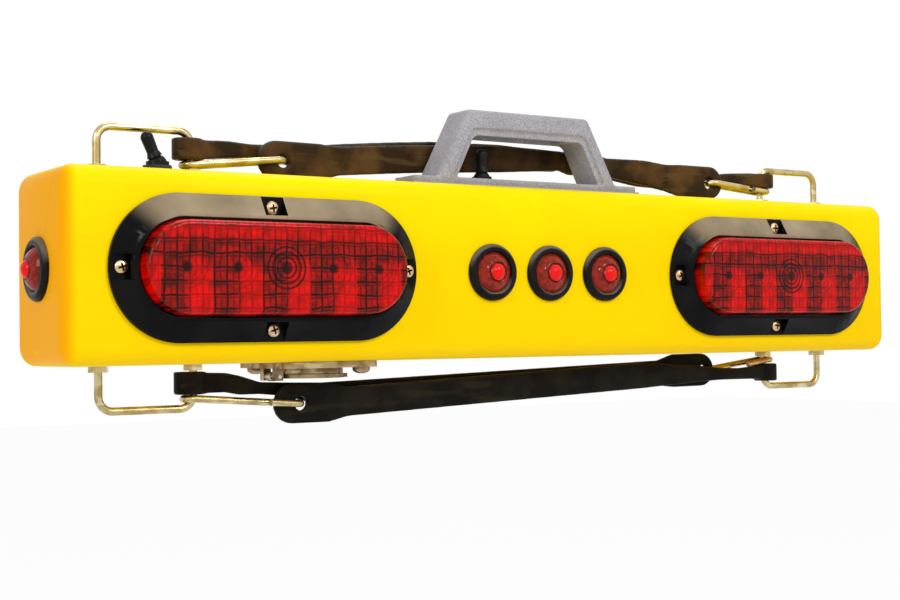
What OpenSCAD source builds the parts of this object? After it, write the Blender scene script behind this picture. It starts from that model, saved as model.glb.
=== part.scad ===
// Trailer lighting board: a hollow moulded bar with two oval LED lamps on its front,
// three identification lamps between them, a marker lamp in each end, a carrying handle,
// two toggle switches, four wire bails and four rubber straps with hooks.
// Millimetres, Z up. X runs along the bar, the front faces -Y, and the origin is the
// middle of the back face. Left and right are as seen from the front.

/* [Body] */
// Length of the body, end to end
body_l = 682; // [664:1:724]
// Height of the body
body_h = 116; // [112:1:124]
// Depth of the body, back face to front face
body_d = 88; // [86:1:98]
// Radius of the edges along the bar
edge_r = 12; // [10:0.5:14]
// Reach of the rounding along the bar, at the body's ends
end_r = 9; // [8:0.5:14]
// Thickness of the body's walls
wall = 3.5; // [3:0.1:4]
// Thickness of the lip round the rear opening
lip_t = 12; // [11:0.5:14]
// Width of the ledge that the rear cover is screwed to
ledge_w = 11; // [10:0.5:13]
// Width of the flat rim round the rear cover
rim_w = 6; // [4:0.5:8]

/* [Rear cover] */
// Thickness of the rear cover
cover_t = 4; // [3.8:0.1:5]
// Thickness of the cover's gasket
gasket_t = 1.5; // [1:0.1:2]
// Depth of the counterbores for the cover's screws
cover_bore_t = 2.5; // [2.3:0.1:2.8]
// Height of the ribs inside the cover
cover_rib_h = 3; // [2:0.5:5]
// Distance from the cover's middle to its ribs
cover_rib_z = 6; // [5:0.5:7]
// Distance from the end of the cover's recess to the last screws of its rows
cover_end_gap = 23; // [21:1:30]

/* [Oval lamps] */
// Distance from each end of the body to the lamp's middle
lamp_inset = 128.5; // [124:0.5:134]
// How far the lamps sit below the body's mid-height
lamp_drop = 1.3; // [0:0.1:3]
// Half length of the lens front
lens_hl = 86.7; // [84:0.1:88]
// Half height of the lens front
lens_hh = 27.3; // [26:0.1:28]
// How far the lens stands out from the body
lens_proud = 20.5; // [17:0.5:22]
// Thickness of the lens
lens_t = 2.5; // [2:0.1:3]
// Radius of the lens front's edge
lens_edge_r = 3; // [2:0.5:4]
// Growth of the lens outline towards its base
lens_draft = 1.4; // [0.8:0.1:1.8]
// Width of the lens rim under the flange
lens_rim_w = 2.5; // [2.2:0.1:2.8]
// Thickness of the lens rim
lens_rim_t = 3; // [2.5:0.1:3.5]
// Depth of the lamp's tub behind the body's face
tub_d = 26; // [22:1:34]
// Wall of the lamp's tub
tub_wall = 2; // [1.5:0.1:2.5]
// Number of emitters along a lamp
led_n = 5; // [3:2:5]
// Distance between emitters
led_pitch = 32; // [29:0.5:32.5]
// Distance between the lens's ribs
optic_pitch = 7.5; // [6:0.5:10]

/* [Lamp flanges] */
// Half height of a flange
flange_hh = 44; // [43.5:0.1:46]
// Height of the flange's outer edge
flange_edge_h = 2.4; // [2:0.1:3]
// Height of the flange's crest
crest_h = 10.2; // [8:0.2:12]
// Width of the crest's flat top
crest_w = 1.9; // [1:0.1:2.5]
// Wall of the flange
flange_wall = 2.3; // [2:0.1:2.6]
// Distance from a flange's outer edge to the middles of its screws
flange_screw_gap = 7.2; // [6.8:0.1:7.4]
// Width of a screw pocket
pocket_w = 15; // [12:0.5:17]
// Height of the floor of a screw pocket
pocket_floor = 2.6; // [2.2:0.1:3.2]
// Diameter of a flange screw's head
flange_head_d = 8.6; // [7:0.1:8.6]

/* [Marker lamps] */
// Distance between identification lamps
marker_pitch = 48; // [44:1:54]
// How far the marker lamps sit below mid-height
marker_drop = 1; // [0:0.1:3]
// Outer diameter of a grommet
grommet_d = 38; // [36:0.5:40]
// Diameter of a grommet's neck and of the body's hole
grommet_neck_d = 30; // [29:0.5:32]
// How far a grommet stands out
grommet_proud = 4; // [3:0.1:5]
// Diameter of a marker lens
marker_d = 27; // [25.4:0.2:28]
// Diameter of the inner dome of a marker lens
bullet_d = 12.4; // [10:0.2:14]
// How far the inner dome stands out from the body
bullet_proud = 10.5; // [9.5:0.5:12]
// How far the outer dome would stand out without the inner one
dome_proud = 9; // [7:0.5:9]
// Length of a marker lamp behind the body's face
marker_tail = 21; // [18:1:26]

/* [Handle] */
// Distance from the bar's middle to the handle's middle, to the right
handle_x = 1.3; // [0:0.1:2]
// Half length of the handle's base
handle_hl = 96; // [93:1:102]
// Depth of the handle
handle_d = 28; // [26:1:30]
// Distance from the back face to the handle's middle
handle_y = 54; // [52:0.5:56]
// Thickness of the handle's base
base_t = 4; // [3.5:0.1:5]
// Thickness of the pad under the base
pad_t = 2; // [1.5:0.1:3]
// How far the pad reaches past the base
pad_lap = 1.8; // [1:0.1:2.5]
// Height of the grip above the body
grip_h = 53; // [50:1:60]
// Half length of the grip at its base
grip_foot = 76.8; // [74:0.2:78]
// Half length of the grip at its top
grip_top = 53.6; // [50:0.2:56]
// Thickness of the grip's outer band
grip_t = 12.8; // [12:0.2:14]
// Thickness of the grip's inner band
grip_lip_t = 4.8; // [4:0.2:6]
// Width of the bands at the grip's legs as a share of that at its top
grip_side = 0.9; // [0.8:0.05:1.1]
// How much narrower the inner band is on each side
grip_step = 2.2; // [1:0.2:4]
// Radius of the grip's outer edges
grip_r = 4.5; // [3:0.5:6]

/* [Toggle switches] */
// Distance from the left bails' inner leg to the power switch
power_gap = 26; // [24:0.5:30]
// Distance from the bar's middle to the mode switch
mode_x = 31.5; // [26:0.5:33]
// Diameter of a lever's sleeve
lever_d = 7.8; // [7:0.1:8.4]
// Height of an upright lever above the boot's seat
lever_h = 22; // [18:0.5:24]
// Diameter of the boot's foot
boot_d = 14; // [13:0.2:15]
// Thickness of the boot's foot
boot_foot_t = 2.5; // [2:0.1:3]
// Lean of the power switch's lever at rest, in degrees
lever_lean = 23; // [12:0.5:24]
// Thickness of the nut under the power switch's boot
dress_nut_t = 4; // [3:0.5:5]
// Width of that nut across its flats
dress_nut_w = 16.5; // [16:0.5:18]
// Diameter of a switch's threaded neck
neck_d = 11.8; // [11:0.1:12]

/* [Wire bails] */
// Distance from each end of the body to the bails' outer legs
bail_inset = 35.5; // [32:0.5:40]
// Distance between the legs of a bail
bail_span = 61; // [56:0.5:62]
// Distance from the back face to the bails
bail_y = 45; // [44:0.5:46]
// Height of a bail's rod above the body
bail_h = 27.5; // [27:0.5:32]
// Diameter of the bail wire
bail_wire = 5; // [4.6:0.1:5.4]
// Radius of a bail's bends
bail_bend = 9; // [8:0.5:11]
// Width of a bail nut across its flats
bail_nut_w = 11; // [10:0.5:12]
// Thickness of a bail nut
bail_nut_t = 4; // [3.4:0.1:4.4]

/* [Straps and hooks] */
// Width of a strap's band
strap_w = 19; // [17:0.5:20]
// Thickness of a strap
strap_t = 5; // [4:0.2:5.2]
// Width of a strap's paddle
paddle_w = 25; // [24:0.5:25.5]
// Width of a strap's loop round a bail
loop_w = 13.5; // [12.5:0.5:14]
// Diameter of the hole in a paddle
paddle_hole_d = 9.2; // [8.8:0.2:10]
// Diameter of the hook wire
hook_wire = 4.6; // [4.2:0.1:4.8]

/* [Connector] */
// Distance from the body's left end to the connector's middle
socket_inset = 177.5; // [176:0.5:178.5]
// Side of the connector's flange
socket_w = 68; // [66:0.5:70]
// Thickness of that flange
socket_flange_t = 4; // [3:0.5:4.5]
// Distance between the flange's screws
socket_pitch = 50; // [49:0.5:52]
// Outer diameter of the connector's barrel
barrel_d = 45; // [44:0.5:46]
// Wall of the barrel
barrel_wall = 2.5; // [2:0.1:2.8]
// How far the barrel stands out from its flange
barrel_proud = 3.6; // [3.5:0.1:4]
// How far the barrel reaches into the body
barrel_depth = 30; // [26:1:34]
// Thickness of the connector's lid
lid_t = 2.6; // [2:0.1:3]
// Gap between the barrel and the lid
lid_gap = 0.4; // [0.2:0.1:0.8]

// Diameter of the connector's screw heads
socket_head_d = 11.4; // [9:0.2:12]

/* [Clearances] */
// Clearance of a loose fit
loose = 0.3; // [0.2:0.05:0.5]
// Radial clearance of a pin in its hole
pin_gap = 0.05; // [0.03:0.01:0.1]

/* [Hidden] */
$fn = 48;

// Overlap that keeps a cut from ending on a face
cut = 1;
top_z = body_h / 2;
front_y = -body_d;
lamp_x = body_l / 2 - lamp_inset;
bail_out = body_l / 2 - bail_inset;
bail_in = bail_out - bail_span;
power_x = bail_in + power_gap;
socket_x = body_l / 2 - socket_inset;

// Rear opening, cover and ledge
pocket_l = body_l - 2 * (edge_r + rim_w);
cover_pitch = (pocket_l / 2 - cover_end_gap) / 2;
pocket_h = body_h - 2 * (edge_r + rim_w);
pocket_d = cover_t + gasket_t;
pocket_r = 6;
opening_l = pocket_l - 2 * ledge_w;
opening_h = pocket_h - 2 * ledge_w;
cover_screw_d = 3.5;
cover_head_d = 7;
cover_head_t = 2.2;
cover_screw_len = 12;
opening_r = 4;
rib_gap = 10;
rib_t = 2;
cover_col_x = pocket_l / 2 - ledge_w / 2;
cover_row_z = pocket_h / 2 - ledge_w / 2;
cover_holes = concat(
  [for (i = [-2:2], s = [-1, 1]) [i * cover_pitch, s * cover_row_z]],
  [for (s = [-1, 1]) [s * cover_col_x, 0]]);

// Lamp stack, measured outwards from the body's front face
lens_base_hh = lens_hh + lens_draft;
lens_base_hl = lens_hl + lens_draft;
rim_hh = lens_base_hh + lens_rim_w;
rim_hl = lens_base_hl + lens_rim_w;
bezel_gap = 0.6;
bezel_hh = lens_base_hh + bezel_gap;
straight = lens_hl - lens_hh;
tub_hh = lens_hh - lens_t + 0.5;
tub_hl = straight + tub_hh;
lamp_hole_hh = tub_hh + loose;
flange_screw_d = 4.2;
flange_screw_len = 14;
flange_head_t = 2.6;
flange_screw_x = straight + flange_hh - flange_screw_gap;
flange_screw_z = flange_hh - flange_screw_gap;
flange_points = [[flange_screw_x, 0], [-flange_screw_x, 0], [0, flange_screw_z], [0, -flange_screw_z]];
pocket_reach = 30;
pocket_gap = 0.5;
board_t = 1.6;
board_depth = 8;
plug_d = 20;
plug_t = 6;
chip_d = 8;
chip_t = 2;
cup_t = 1.2;
cup_h = 9;
cup_in = 7;
cup_out = 12.8;

// Marker lamps
grommet_back_t = 3;
grommet_lap = 2;
lens_seat = 1.5;
marker_body_d = marker_d - 2 * lens_seat;
marker_edge = grommet_proud - 0.6;

// Handle
base_z = top_z + pad_t;
base_top = base_z + base_t;
handle_mid = -handle_y;
handle_screw_end = 8;
handle_screw_side = 6;
handle_screw_x = handle_hl - handle_screw_end;
handle_screw_y = handle_d / 2 - handle_screw_side;
handle_head_d = 8;
handle_head_t = 2.6;
base_r = 3;
channel_t = 7;
channel_side = 3;
handle_screw_d = 4;
handle_screw_bite = 3;

// Toggle switches
switch_body_w = 13;
switch_body_h = 18;
switch_gap = 5;
switch_nut_w = 15;
switch_nut_t = 3;
lug_d = 1.6;
lug_l = 4;
ball_d = 7;
ball_gap = 0.06;
stem_d = 3.4;
dome_gap = 0.4;
dome_r = boot_d / 2 - 1.2;
power_seat = top_z + dress_nut_t;
mode_seat = base_top;
pivot_lift = 1.2;

// Bails, straps and hooks
bail_end = 16;
inner_nut_t = 5;
leg_r = bail_wire / 2;
loop_r = leg_r + loose + strap_t * 0.9;
bail_mid = -bail_y;
hook_r = hook_wire / 2;
hook_bend = leg_r + hook_r + 0.8;
paddle_bend = strap_t / 2 + hook_r + 0.5;

// Connector
socket_mid = -bail_y + 1;
socket_hole_d = barrel_d + 2 * loose;
socket_r = 6;
socket_screw_d = 4;
socket_head_t = 4.2;
socket_screw_len = 16;
insert_t = 8;
blade_ring = 12;
blade_t = 1.2;
blade_w = 6;
centre_pin_d = 5;
contact_gap = 6;
lid_z = -top_z - socket_flange_t - barrel_proud - lid_gap;
lid_pin_d = 2.4;
knuckle_d = 5;
knuckle_w = 2.2;
ear_w = 5;
ear_gap = 12;
ear_t = 5.2;
hinge_gap = 3.9;
hinge_x = -socket_x - barrel_d / 2 - hinge_gap;
spring_wire = 1.1;
lid_lap = 0.5;
lid_tab = 5;
lid_tab_w = 16;

function arc(cx, cy, r, from, to, n = 8) =
  [for (i = [0:n]) [cx + r * cos(from + (to - from) * i / n), cy + r * sin(from + (to - from) * i / n)]];

// Shared shapes

// Ball with points on all six of its sides
module ball(r) {
  rotate_extrude($fn = 32) polygon(arc(0, 0, r, -90, 90, 16));
}

// Box with every edge rounded, centred on X and Z, with its back face at y = 0; its ends
// are rounded over a reach of e along X
module rounded_box(l, d, h, r, e) {
  hull() for (a = [-1, 1], b = [-1, 1], c = [-1, 1])
    translate([a * (l / 2 - e), b * (d / 2 - r) - d / 2, c * (h / 2 - r)]) scale([e / r, 1, 1]) ball(r);
}

// Rectangle with round corners
module rounded_rect(w, h, r) {
  square([w - 2 * r, h], center = true);
  square([w, h - 2 * r], center = true);
  for (a = [-1, 1], b = [-1, 1]) translate([a * (w / 2 - r), b * (h / 2 - r)]) circle(r = r);
}

// Oval with straight sides, of a given half height
module stadium(hh) {
  square([2 * straight, 2 * hh], center = true);
  for (s = [-1, 1]) translate([s * straight, 0]) circle(r = hh);
}

// Sweeps a section round the oval; its x runs outwards from the oval's middle line
module stadium_sweep() {
  translate([straight, 0, 0]) rotate([0, 0, -90]) rotate_extrude(angle = 180) children();
  translate([-straight, 0, 0]) rotate([0, 0, 90]) rotate_extrude(angle = 180) children();
  for (m = [0, 1]) mirror([0, m, 0])
    translate([-straight, 0, 0]) rotate([90, 0, 90]) linear_extrude(2 * straight) children();
}

// Places a shape on the front face with its z axis outwards
module on_front(x, z) {
  translate([x, front_y, z]) rotate([90, 0, 0]) children();
}

// Places a shape on an end face with its z axis outwards
module on_end(side) {
  translate([side * body_l / 2, -body_d / 2, -marker_drop]) rotate([0, side * 90, 0]) children();
}

// Pan-head screw with its seat at z = 0 and its head upwards
module pan_screw(d, head_d, head_t, len) {
  difference() {
    union() {
      translate([0, 0, -len]) cylinder(d = d, h = len);
      rotate_extrude() polygon(concat([[0, 0], [head_d / 2, 0], [head_d / 2, head_t * 0.3]],
        [for (i = [1:6]) [head_d / 2 * cos(i * 15), head_t * (0.3 + 0.7 * sin(i * 15))]]));
    }
    for (a = [0, 90]) rotate([0, 0, a])
      translate([-head_d * 0.3, -head_d * 0.07, head_t * 0.45]) cube([head_d * 0.6, head_d * 0.14, head_t]);
  }
}

// Hexagon nut with its seat at z = 0
module hex_nut(w, t, bore) {
  difference() {
    cylinder(d = w / cos(30), h = t, $fn = 6);
    translate([0, 0, -cut]) cylinder(d = bore, h = t + 2 * cut);
  }
}

// Body

module cover_hole_pattern() {
  for (p = cover_holes) translate([p[0], 0, p[1]]) rotate([90, 0, 0]) children();
}

module bail_hole_pattern() {
  for (s = [-1, 1], x = [bail_in, bail_out]) translate([s * x, bail_mid, 0]) children();
}

module body_shell() color("gold") {
  difference() {
    rounded_box(body_l, body_d, body_h, edge_r, end_r);
    translate([0, -lip_t, 0])
      rounded_box(body_l - 2 * wall, body_d - wall - lip_t, body_h - 2 * wall, edge_r - wall, end_r - wall);
    translate([0, -pocket_d, 0]) rotate([-90, 0, 0])
      linear_extrude(pocket_d + cut) rounded_rect(pocket_l, pocket_h, pocket_r);
    translate([0, -lip_t - cut, 0]) rotate([-90, 0, 0])
      linear_extrude(lip_t + cut) rounded_rect(opening_l, opening_h, opening_r);
    translate([0, -pocket_d + cut, 0]) cover_hole_pattern() cylinder(d = cover_screw_d, h = lip_t);
    for (s = [-1, 1]) on_front(s * lamp_x, -lamp_drop) {
      translate([0, 0, -wall - cut]) linear_extrude(wall + 2 * cut) stadium(lamp_hole_hh);
      for (p = flange_points) translate([p[0], p[1], -wall - cut])
        cylinder(d = flange_screw_d, h = wall + 2 * cut);
    }
    for (i = [-1:1]) on_front(i * marker_pitch, -marker_drop) translate([0, 0, -wall - cut])
      cylinder(d = grommet_neck_d, h = wall + 2 * cut);
    for (s = [-1, 1]) on_end(s) translate([0, 0, -wall - cut])
      cylinder(d = grommet_neck_d, h = wall + 2 * cut);
    for (x = [-power_x, -mode_x]) translate([x, handle_mid, top_z - wall - cut])
      cylinder(d = neck_d + 2 * loose, h = wall + 2 * cut);
    for (a = [-1, 1], b = [-1, 1])
      translate([handle_x + a * handle_screw_x, handle_mid + b * handle_screw_y, top_z - wall - cut])
        cylinder(d = handle_screw_d + 2 * pin_gap, h = wall + 2 * cut);
    for (z = [top_z - wall - cut, -top_z - cut]) translate([0, 0, z]) bail_hole_pattern()
      cylinder(d = bail_wire + 2 * pin_gap, h = wall + 2 * cut);
    translate([-socket_x, socket_mid, -top_z - cut]) {
      cylinder(d = socket_hole_d, h = wall + 2 * cut);
      for (a = [-1, 1], b = [-1, 1]) translate([a * socket_pitch / 2, b * socket_pitch / 2, 0])
        cylinder(d = socket_screw_d + 2 * pin_gap, h = wall + 5 * cut);
    }
  }
}

module rear_cover() color("gold") {
  difference() {
    union() {
      translate([0, -cover_t, 0]) rotate([-90, 0, 0])
        linear_extrude(cover_t) rounded_rect(pocket_l - 2 * loose, pocket_h - 2 * loose, pocket_r - loose);
      for (z = [-1, 1]) translate([0, -cover_t - cover_rib_h / 2, z * cover_rib_z])
        cube([opening_l - 2 * rib_gap, cover_rib_h, rib_t], center = true);
    }
    translate([0, cut, 0]) cover_hole_pattern() {
      cylinder(d = cover_screw_d + 2 * loose, h = cover_t + 2 * cut);
      cylinder(d = cover_head_d + 2 * loose, h = cover_bore_t + cut);
    }
    board_holes();
  }
}

module cover_gasket() color("dimgray") {
  translate([0, -pocket_d, 0]) rotate([-90, 0, 0]) linear_extrude(gasket_t) difference() {
    rounded_rect(pocket_l - 2 * loose, pocket_h - 2 * loose, pocket_r - loose);
    rounded_rect(opening_l, opening_h, opening_r);
    for (p = cover_holes) translate([p[0], -p[1]]) circle(d = cover_screw_d + 2 * loose);
  }
}

module cover_screws() color("silver") {
  for (p = cover_holes) translate([p[0], -cover_bore_t, p[1]]) rotate([-90, 0, 0])
    pan_screw(cover_screw_d, cover_head_d, cover_head_t, cover_screw_len);
}

// Oval lamps

// Section of the flange: a hollow slope from the outer edge up to the crest
module flange_section() {
  seat_h = lens_rim_t + 0.2;
  seat_r = rim_hh + loose;
  crest_r = bezel_hh + crest_w;
  slope = (crest_h - flange_edge_h) / (flange_hh - crest_r);
  inner_r = seat_r + flange_wall;
  outer_r = flange_hh - flange_wall;
  polygon([[bezel_hh, seat_h], [seat_r, seat_h], [seat_r, 0], [inner_r, 0],
    [inner_r, crest_h - slope * (inner_r - crest_r) - flange_wall],
    [outer_r, 1.2], [outer_r, 0], [flange_hh, 0], [flange_hh, flange_edge_h],
    [crest_r, crest_h], [bezel_hh, crest_h]]);
}

module flange_shape() {
  pad_w = pocket_w + 2 * flange_wall;
  pad_in = rim_hh + loose;
  far_in = pad_in + pocket_gap + pocket_reach / 2;
  mid_up = pocket_floor + pocket_reach / 2;
  difference() {
    union() {
      stadium_sweep() flange_section();
      intersection() {
        linear_extrude(crest_h) difference() {
          stadium(flange_hh - 0.5);
          stadium(pad_in + 1);
        }
        union() {
          cube([2 * (straight + flange_hh), pad_w, 2 * pocket_floor], center = true);
          cube([pad_w, 2 * flange_hh, 2 * pocket_floor], center = true);
        }
      }
    }
    for (s = [-1, 1]) {
      translate([s * (straight + far_in), 0, mid_up])
        cube([pocket_reach, pocket_w, pocket_reach], center = true);
      translate([0, s * far_in, mid_up])
        cube([pocket_w, pocket_reach, pocket_reach], center = true);
    }
    for (p = flange_points) translate([p[0], p[1], -cut])
      cylinder(d = flange_screw_d + 2 * loose, h = pocket_floor + 2 * cut);
  }
}

module left_lamp_flange() color("#16161a") on_front(-lamp_x, -lamp_drop) flange_shape();
module right_lamp_flange() color("#16161a") on_front(lamp_x, -lamp_drop) flange_shape();

module flange_screw_set() {
  for (p = flange_points) translate([p[0], p[1], pocket_floor])
    pan_screw(flange_screw_d, flange_head_d, flange_head_t, flange_screw_len);
}

module left_flange_screws() color("#c9a36a") on_front(-lamp_x, -lamp_drop) flange_screw_set();
module right_flange_screws() color("#c9a36a") on_front(lamp_x, -lamp_drop) flange_screw_set();

// Section of the lens: a thin cover with a rim that the flange holds down
module lens_section() {
  r = lens_edge_r;
  ri = 1;
  in = lens_t;
  polygon(concat([[rim_hh, 0], [rim_hh, lens_rim_t], [lens_base_hh, lens_rim_t]],
    arc(lens_hh - r, lens_proud - r, r, 0, 90),
    [[0, lens_proud], [0, lens_proud - in]],
    arc(lens_hh - in - ri, lens_proud - in - ri, ri, 90, 0, 3),
    [[lens_base_hh - in, lens_rim_t], [lens_base_hh - in, 0]]));
}

// Stepped rings over each emitter and upright ribs beyond them, on the inside of the lens
module lens_optics() {
  reach = lens_hh - lens_t;
  z = lens_proud - lens_t;
  ring = led_pitch / 2 - 1;
  for (i = [0:led_n - 1]) translate([(i - (led_n - 1) / 2) * led_pitch, 0, z])
    rotate_extrude() polygon([[0, 0.5], [0, -1.8], [ring * 0.3, -1], [ring * 0.36, -1.8],
      [ring * 0.62, -0.8], [ring * 0.68, -1.8], [ring, -0.4], [ring, 0.5]]);
  for (s = [-1, 1], i = [0:1]) let (x = led_n * led_pitch / 2 + 1 + i * optic_pitch)
    if (x - straight < reach - 8) translate([s * x, 0, z - 0.5])
      cube([1.2, 2 * (reach - 7 - 5 * i), 2], center = true);
}

module lens_shape() {
  stadium_sweep() lens_section();
  lens_optics();
}

module left_lamp_lens() color("#d01008", 0.85) on_front(-lamp_x, -lamp_drop) lens_shape();
module right_lamp_lens() color("#d01008", 0.85) on_front(lamp_x, -lamp_drop) lens_shape();

// Tub that closes the back of a lamp, with a plug boss
module tub_shape() {
  difference() {
    union() {
      translate([0, 0, -tub_d]) linear_extrude(tub_d) stadium(tub_hh);
      translate([0, 0, -tub_d - plug_t]) cylinder(d = plug_d, h = plug_t + cut);
    }
    translate([0, 0, -tub_d + tub_wall]) linear_extrude(tub_d) stadium(tub_hh - tub_wall);
    translate([0, 0, -tub_d - plug_t - cut]) cylinder(d = plug_d - 2 * tub_wall, h = plug_t);
  }
  for (i = [-1, 1]) translate([i * straight / 2, 0, -tub_d])
    cylinder(d = 6, h = tub_d - board_depth - board_t);
}

module left_lamp_tub() color("#202024") on_front(-lamp_x, -lamp_drop) tub_shape();
module right_lamp_tub() color("#202024") on_front(lamp_x, -lamp_drop) tub_shape();

// Board with a row of emitters, each in its own reflector cup
module led_board_shape() {
  hh = tub_hh - tub_wall - loose;
  translate([0, 0, -board_depth - board_t]) linear_extrude(board_t) stadium(hh);
  for (i = [0:led_n - 1]) translate([(i - (led_n - 1) / 2) * led_pitch, 0, -board_depth]) {
    cylinder(d = chip_d, h = chip_t);
    translate([0, 0, chip_t]) sphere(d = chip_d - 2);
    rotate_extrude() polygon([[cup_in, 0], [cup_in + cup_t, 0], [cup_out + cup_t, cup_h], [cup_out, cup_h]]);
  }
}

module left_led_board() color("#d8d8d0") on_front(-lamp_x, -lamp_drop) led_board_shape();
module right_led_board() color("#d8d8d0") on_front(lamp_x, -lamp_drop) led_board_shape();

// Marker lamps

module grommet_shape() {
  r = grommet_d / 2;
  ri = marker_d / 2 + pin_gap;
  neck = grommet_neck_d / 2;
  rotate_extrude() polygon(concat([[ri, -wall + 1], [ri, grommet_proud - 1]],
    [[ri + 1, grommet_proud]],
    arc(r - 3, grommet_proud - 3, 3, 90, 0),
    [[r, 0], [neck, 0], [neck, -wall], [neck + grommet_lap, -wall],
      [neck + grommet_lap / 2, -wall - grommet_back_t],
      [marker_body_d / 2 + pin_gap, -wall - grommet_back_t], [marker_body_d / 2 + pin_gap, -wall + 1]]));
}

// Outline of a dome over a radius r whose edge is at low and whose top is at high, from x0 to x1
function dome(r, low, high, x0, x1, n = 6) =
  let (h = high - low, big = (r * r + h * h) / (2 * h))
  [for (i = [0:n]) let (x = x0 + (x1 - x0) * i / n) [x, high - big + sqrt(big * big - x * x)]];

// Sealed lamp: a domed lens with a smaller dome in its middle
module marker_shape() {
  r = marker_d / 2;
  b = bullet_d / 2;
  rim = r - 1.2;
  rotate_extrude() polygon(concat(
    [[0, -marker_tail], [marker_body_d / 2 - 1, -marker_tail], [marker_body_d / 2, -marker_tail + 1],
      [marker_body_d / 2, -wall + 1], [r, -wall + 1], [r, marker_edge - 1.2]],
    dome(rim, marker_edge, dome_proud, rim, b + 1),
    dome(b, dome_proud - 2.4, bullet_proud, b, 0)));
}

module left_id_grommet() color("#1b1a1c") on_front(-marker_pitch, -marker_drop) grommet_shape();
module centre_id_grommet() color("#1b1a1c") on_front(0, -marker_drop) grommet_shape();
module right_id_grommet() color("#1b1a1c") on_front(marker_pitch, -marker_drop) grommet_shape();
module left_id_lamp() color("#c80a06", 0.9) on_front(-marker_pitch, -marker_drop) marker_shape();
module centre_id_lamp() color("#c80a06", 0.9) on_front(0, -marker_drop) marker_shape();
module right_id_lamp() color("#c80a06", 0.9) on_front(marker_pitch, -marker_drop) marker_shape();
module left_end_grommet() color("#1b1a1c") on_end(-1) grommet_shape();
module right_end_grommet() color("#1b1a1c") on_end(1) grommet_shape();
module left_end_lamp() color("#c80a06", 0.9) on_end(-1) marker_shape();
module right_end_lamp() color("#c80a06", 0.9) on_end(1) marker_shape();

// Handle

// Half width of the grip's outline at a height, moved inwards by an inset
function grip_half(z, inset) =
  grip_foot - (grip_foot - grip_top) * (z - base_top) / (top_z + grip_h - base_top) - inset;

// Space under the grip, with rounded upper corners
module grip_window(inset, low) {
  roof = top_z + grip_h - inset;
  side = inset * grip_side;
  r = 7;
  lean = atan2(grip_foot - grip_top, top_z + grip_h - base_top);
  cx = grip_half(roof, side) - r * tan(45 - lean / 2);
  polygon(concat([[-grip_half(low, side), low]],
    [for (p = arc(cx, roof - r, r, lean, 90, 6)) [-p[0], p[1]]],
    [for (i = [6:-1:0]) let (a = lean + (90 - lean) * i / 6) [cx + r * cos(a), roof - r + r * sin(a)]],
    [[grip_half(low, side), low]]));
}

module handle_grip() color("#8d8890") translate([handle_x, 0, 0]) {
  d = handle_d;
  top = top_z + grip_h;
  difference() {
    union() {
      difference() {
        hull() {
          for (a = [-1, 1], b = [-1, 1]) {
            translate([a * (grip_top - grip_r), handle_mid + b * (d / 2 - grip_r), top - grip_r])
              sphere(r = grip_r, $fn = 32);
            translate([a * (grip_foot - grip_r), handle_mid + b * (d / 2 - grip_r), base_top - 1])
              cylinder(r = grip_r, h = 1, $fn = 32);
          }
        }
        translate([0, handle_mid + d, 0]) rotate([90, 0, 0])
          linear_extrude(2 * d) grip_window(grip_t, base_top - 2);
      }
      intersection() {
        translate([0, handle_mid + d / 2 - grip_step, 0]) rotate([90, 0, 0])
          linear_extrude(d - 2 * grip_step) difference() {
            grip_window(grip_t - 1, base_top - 1);
            grip_window(grip_t + grip_lip_t, base_top - 2);
          }
        translate([0, handle_mid, top_z + grip_h / 2]) cube([2 * grip_foot, d, grip_h], center = true);
      }
      translate([0, handle_mid, base_z]) linear_extrude(base_t) rounded_rect(2 * handle_hl, d - 1, base_r);
    }
    translate([0, handle_mid, top - grip_t - channel_side])
      cube([2 * (grip_top - grip_t - 2 * channel_side), d - 2 * (grip_step + channel_side), 2 * channel_t],
        center = true);
    for (a = [-1, 1], b = [-1, 1])
      translate([a * handle_screw_x, handle_mid + b * handle_screw_y, base_z - cut])
        cylinder(d = handle_screw_d, h = handle_screw_bite + cut);
    translate([-mode_x - handle_x, handle_mid, base_z - cut])
      cylinder(d = neck_d + 2 * loose, h = base_t + 2 * cut);
  }
}

module handle_pad() color("#7d7982") translate([handle_x, 0, 0]) {
  difference() {
    translate([0, handle_mid, top_z]) linear_extrude(pad_t)
      rounded_rect(2 * (handle_hl + pad_lap), handle_d - 1 + 2 * pad_lap, base_r);
    for (a = [-1, 1], b = [-1, 1])
      translate([a * handle_screw_x, handle_mid + b * handle_screw_y, top_z - cut])
        cylinder(d = handle_screw_d + 2 * pin_gap, h = pad_t + 2 * cut);
    translate([-mode_x - handle_x, handle_mid, top_z - cut])
      cylinder(d = neck_d + 2 * loose, h = pad_t + 2 * cut);
  }
}

module handle_screws() color("silver") translate([handle_x, 0, 0]) {
  for (a = [-1, 1], b = [-1, 1])
    translate([a * handle_screw_x, handle_mid + b * handle_screw_y, top_z - wall]) mirror([0, 0, 1])
      pan_screw(handle_screw_d, handle_head_d, handle_head_t, wall + pad_t + handle_screw_bite - loose);
}

// Toggle switches, each built with its boot's seat at z = 0

// Case, threaded neck and inner nut; the neck rises to the seat and ends in a cup for the ball
module switch_shape(seat_drop) {
  difference() {
    union() {
      translate([-switch_body_w / 2, -switch_body_w / 2, -seat_drop - wall - switch_gap - switch_body_h])
        cube([switch_body_w, switch_body_w, switch_body_h]);
      translate([0, 0, -seat_drop - wall - switch_gap - cut])
        cylinder(d = neck_d, h = seat_drop + wall + switch_gap + cut - loose);
      translate([0, 0, -seat_drop - wall - switch_nut_t])
        cylinder(d = switch_nut_w / cos(30), h = switch_nut_t, $fn = 6);
      for (i = [-1:1]) translate([i * lug_l, 0, -seat_drop - wall - switch_gap - switch_body_h - lug_l])
        cylinder(d = lug_d, h = lug_l + cut);
    }
    translate([0, 0, pivot_lift]) sphere(d = ball_d + 2 * ball_gap);
  }
}

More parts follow.
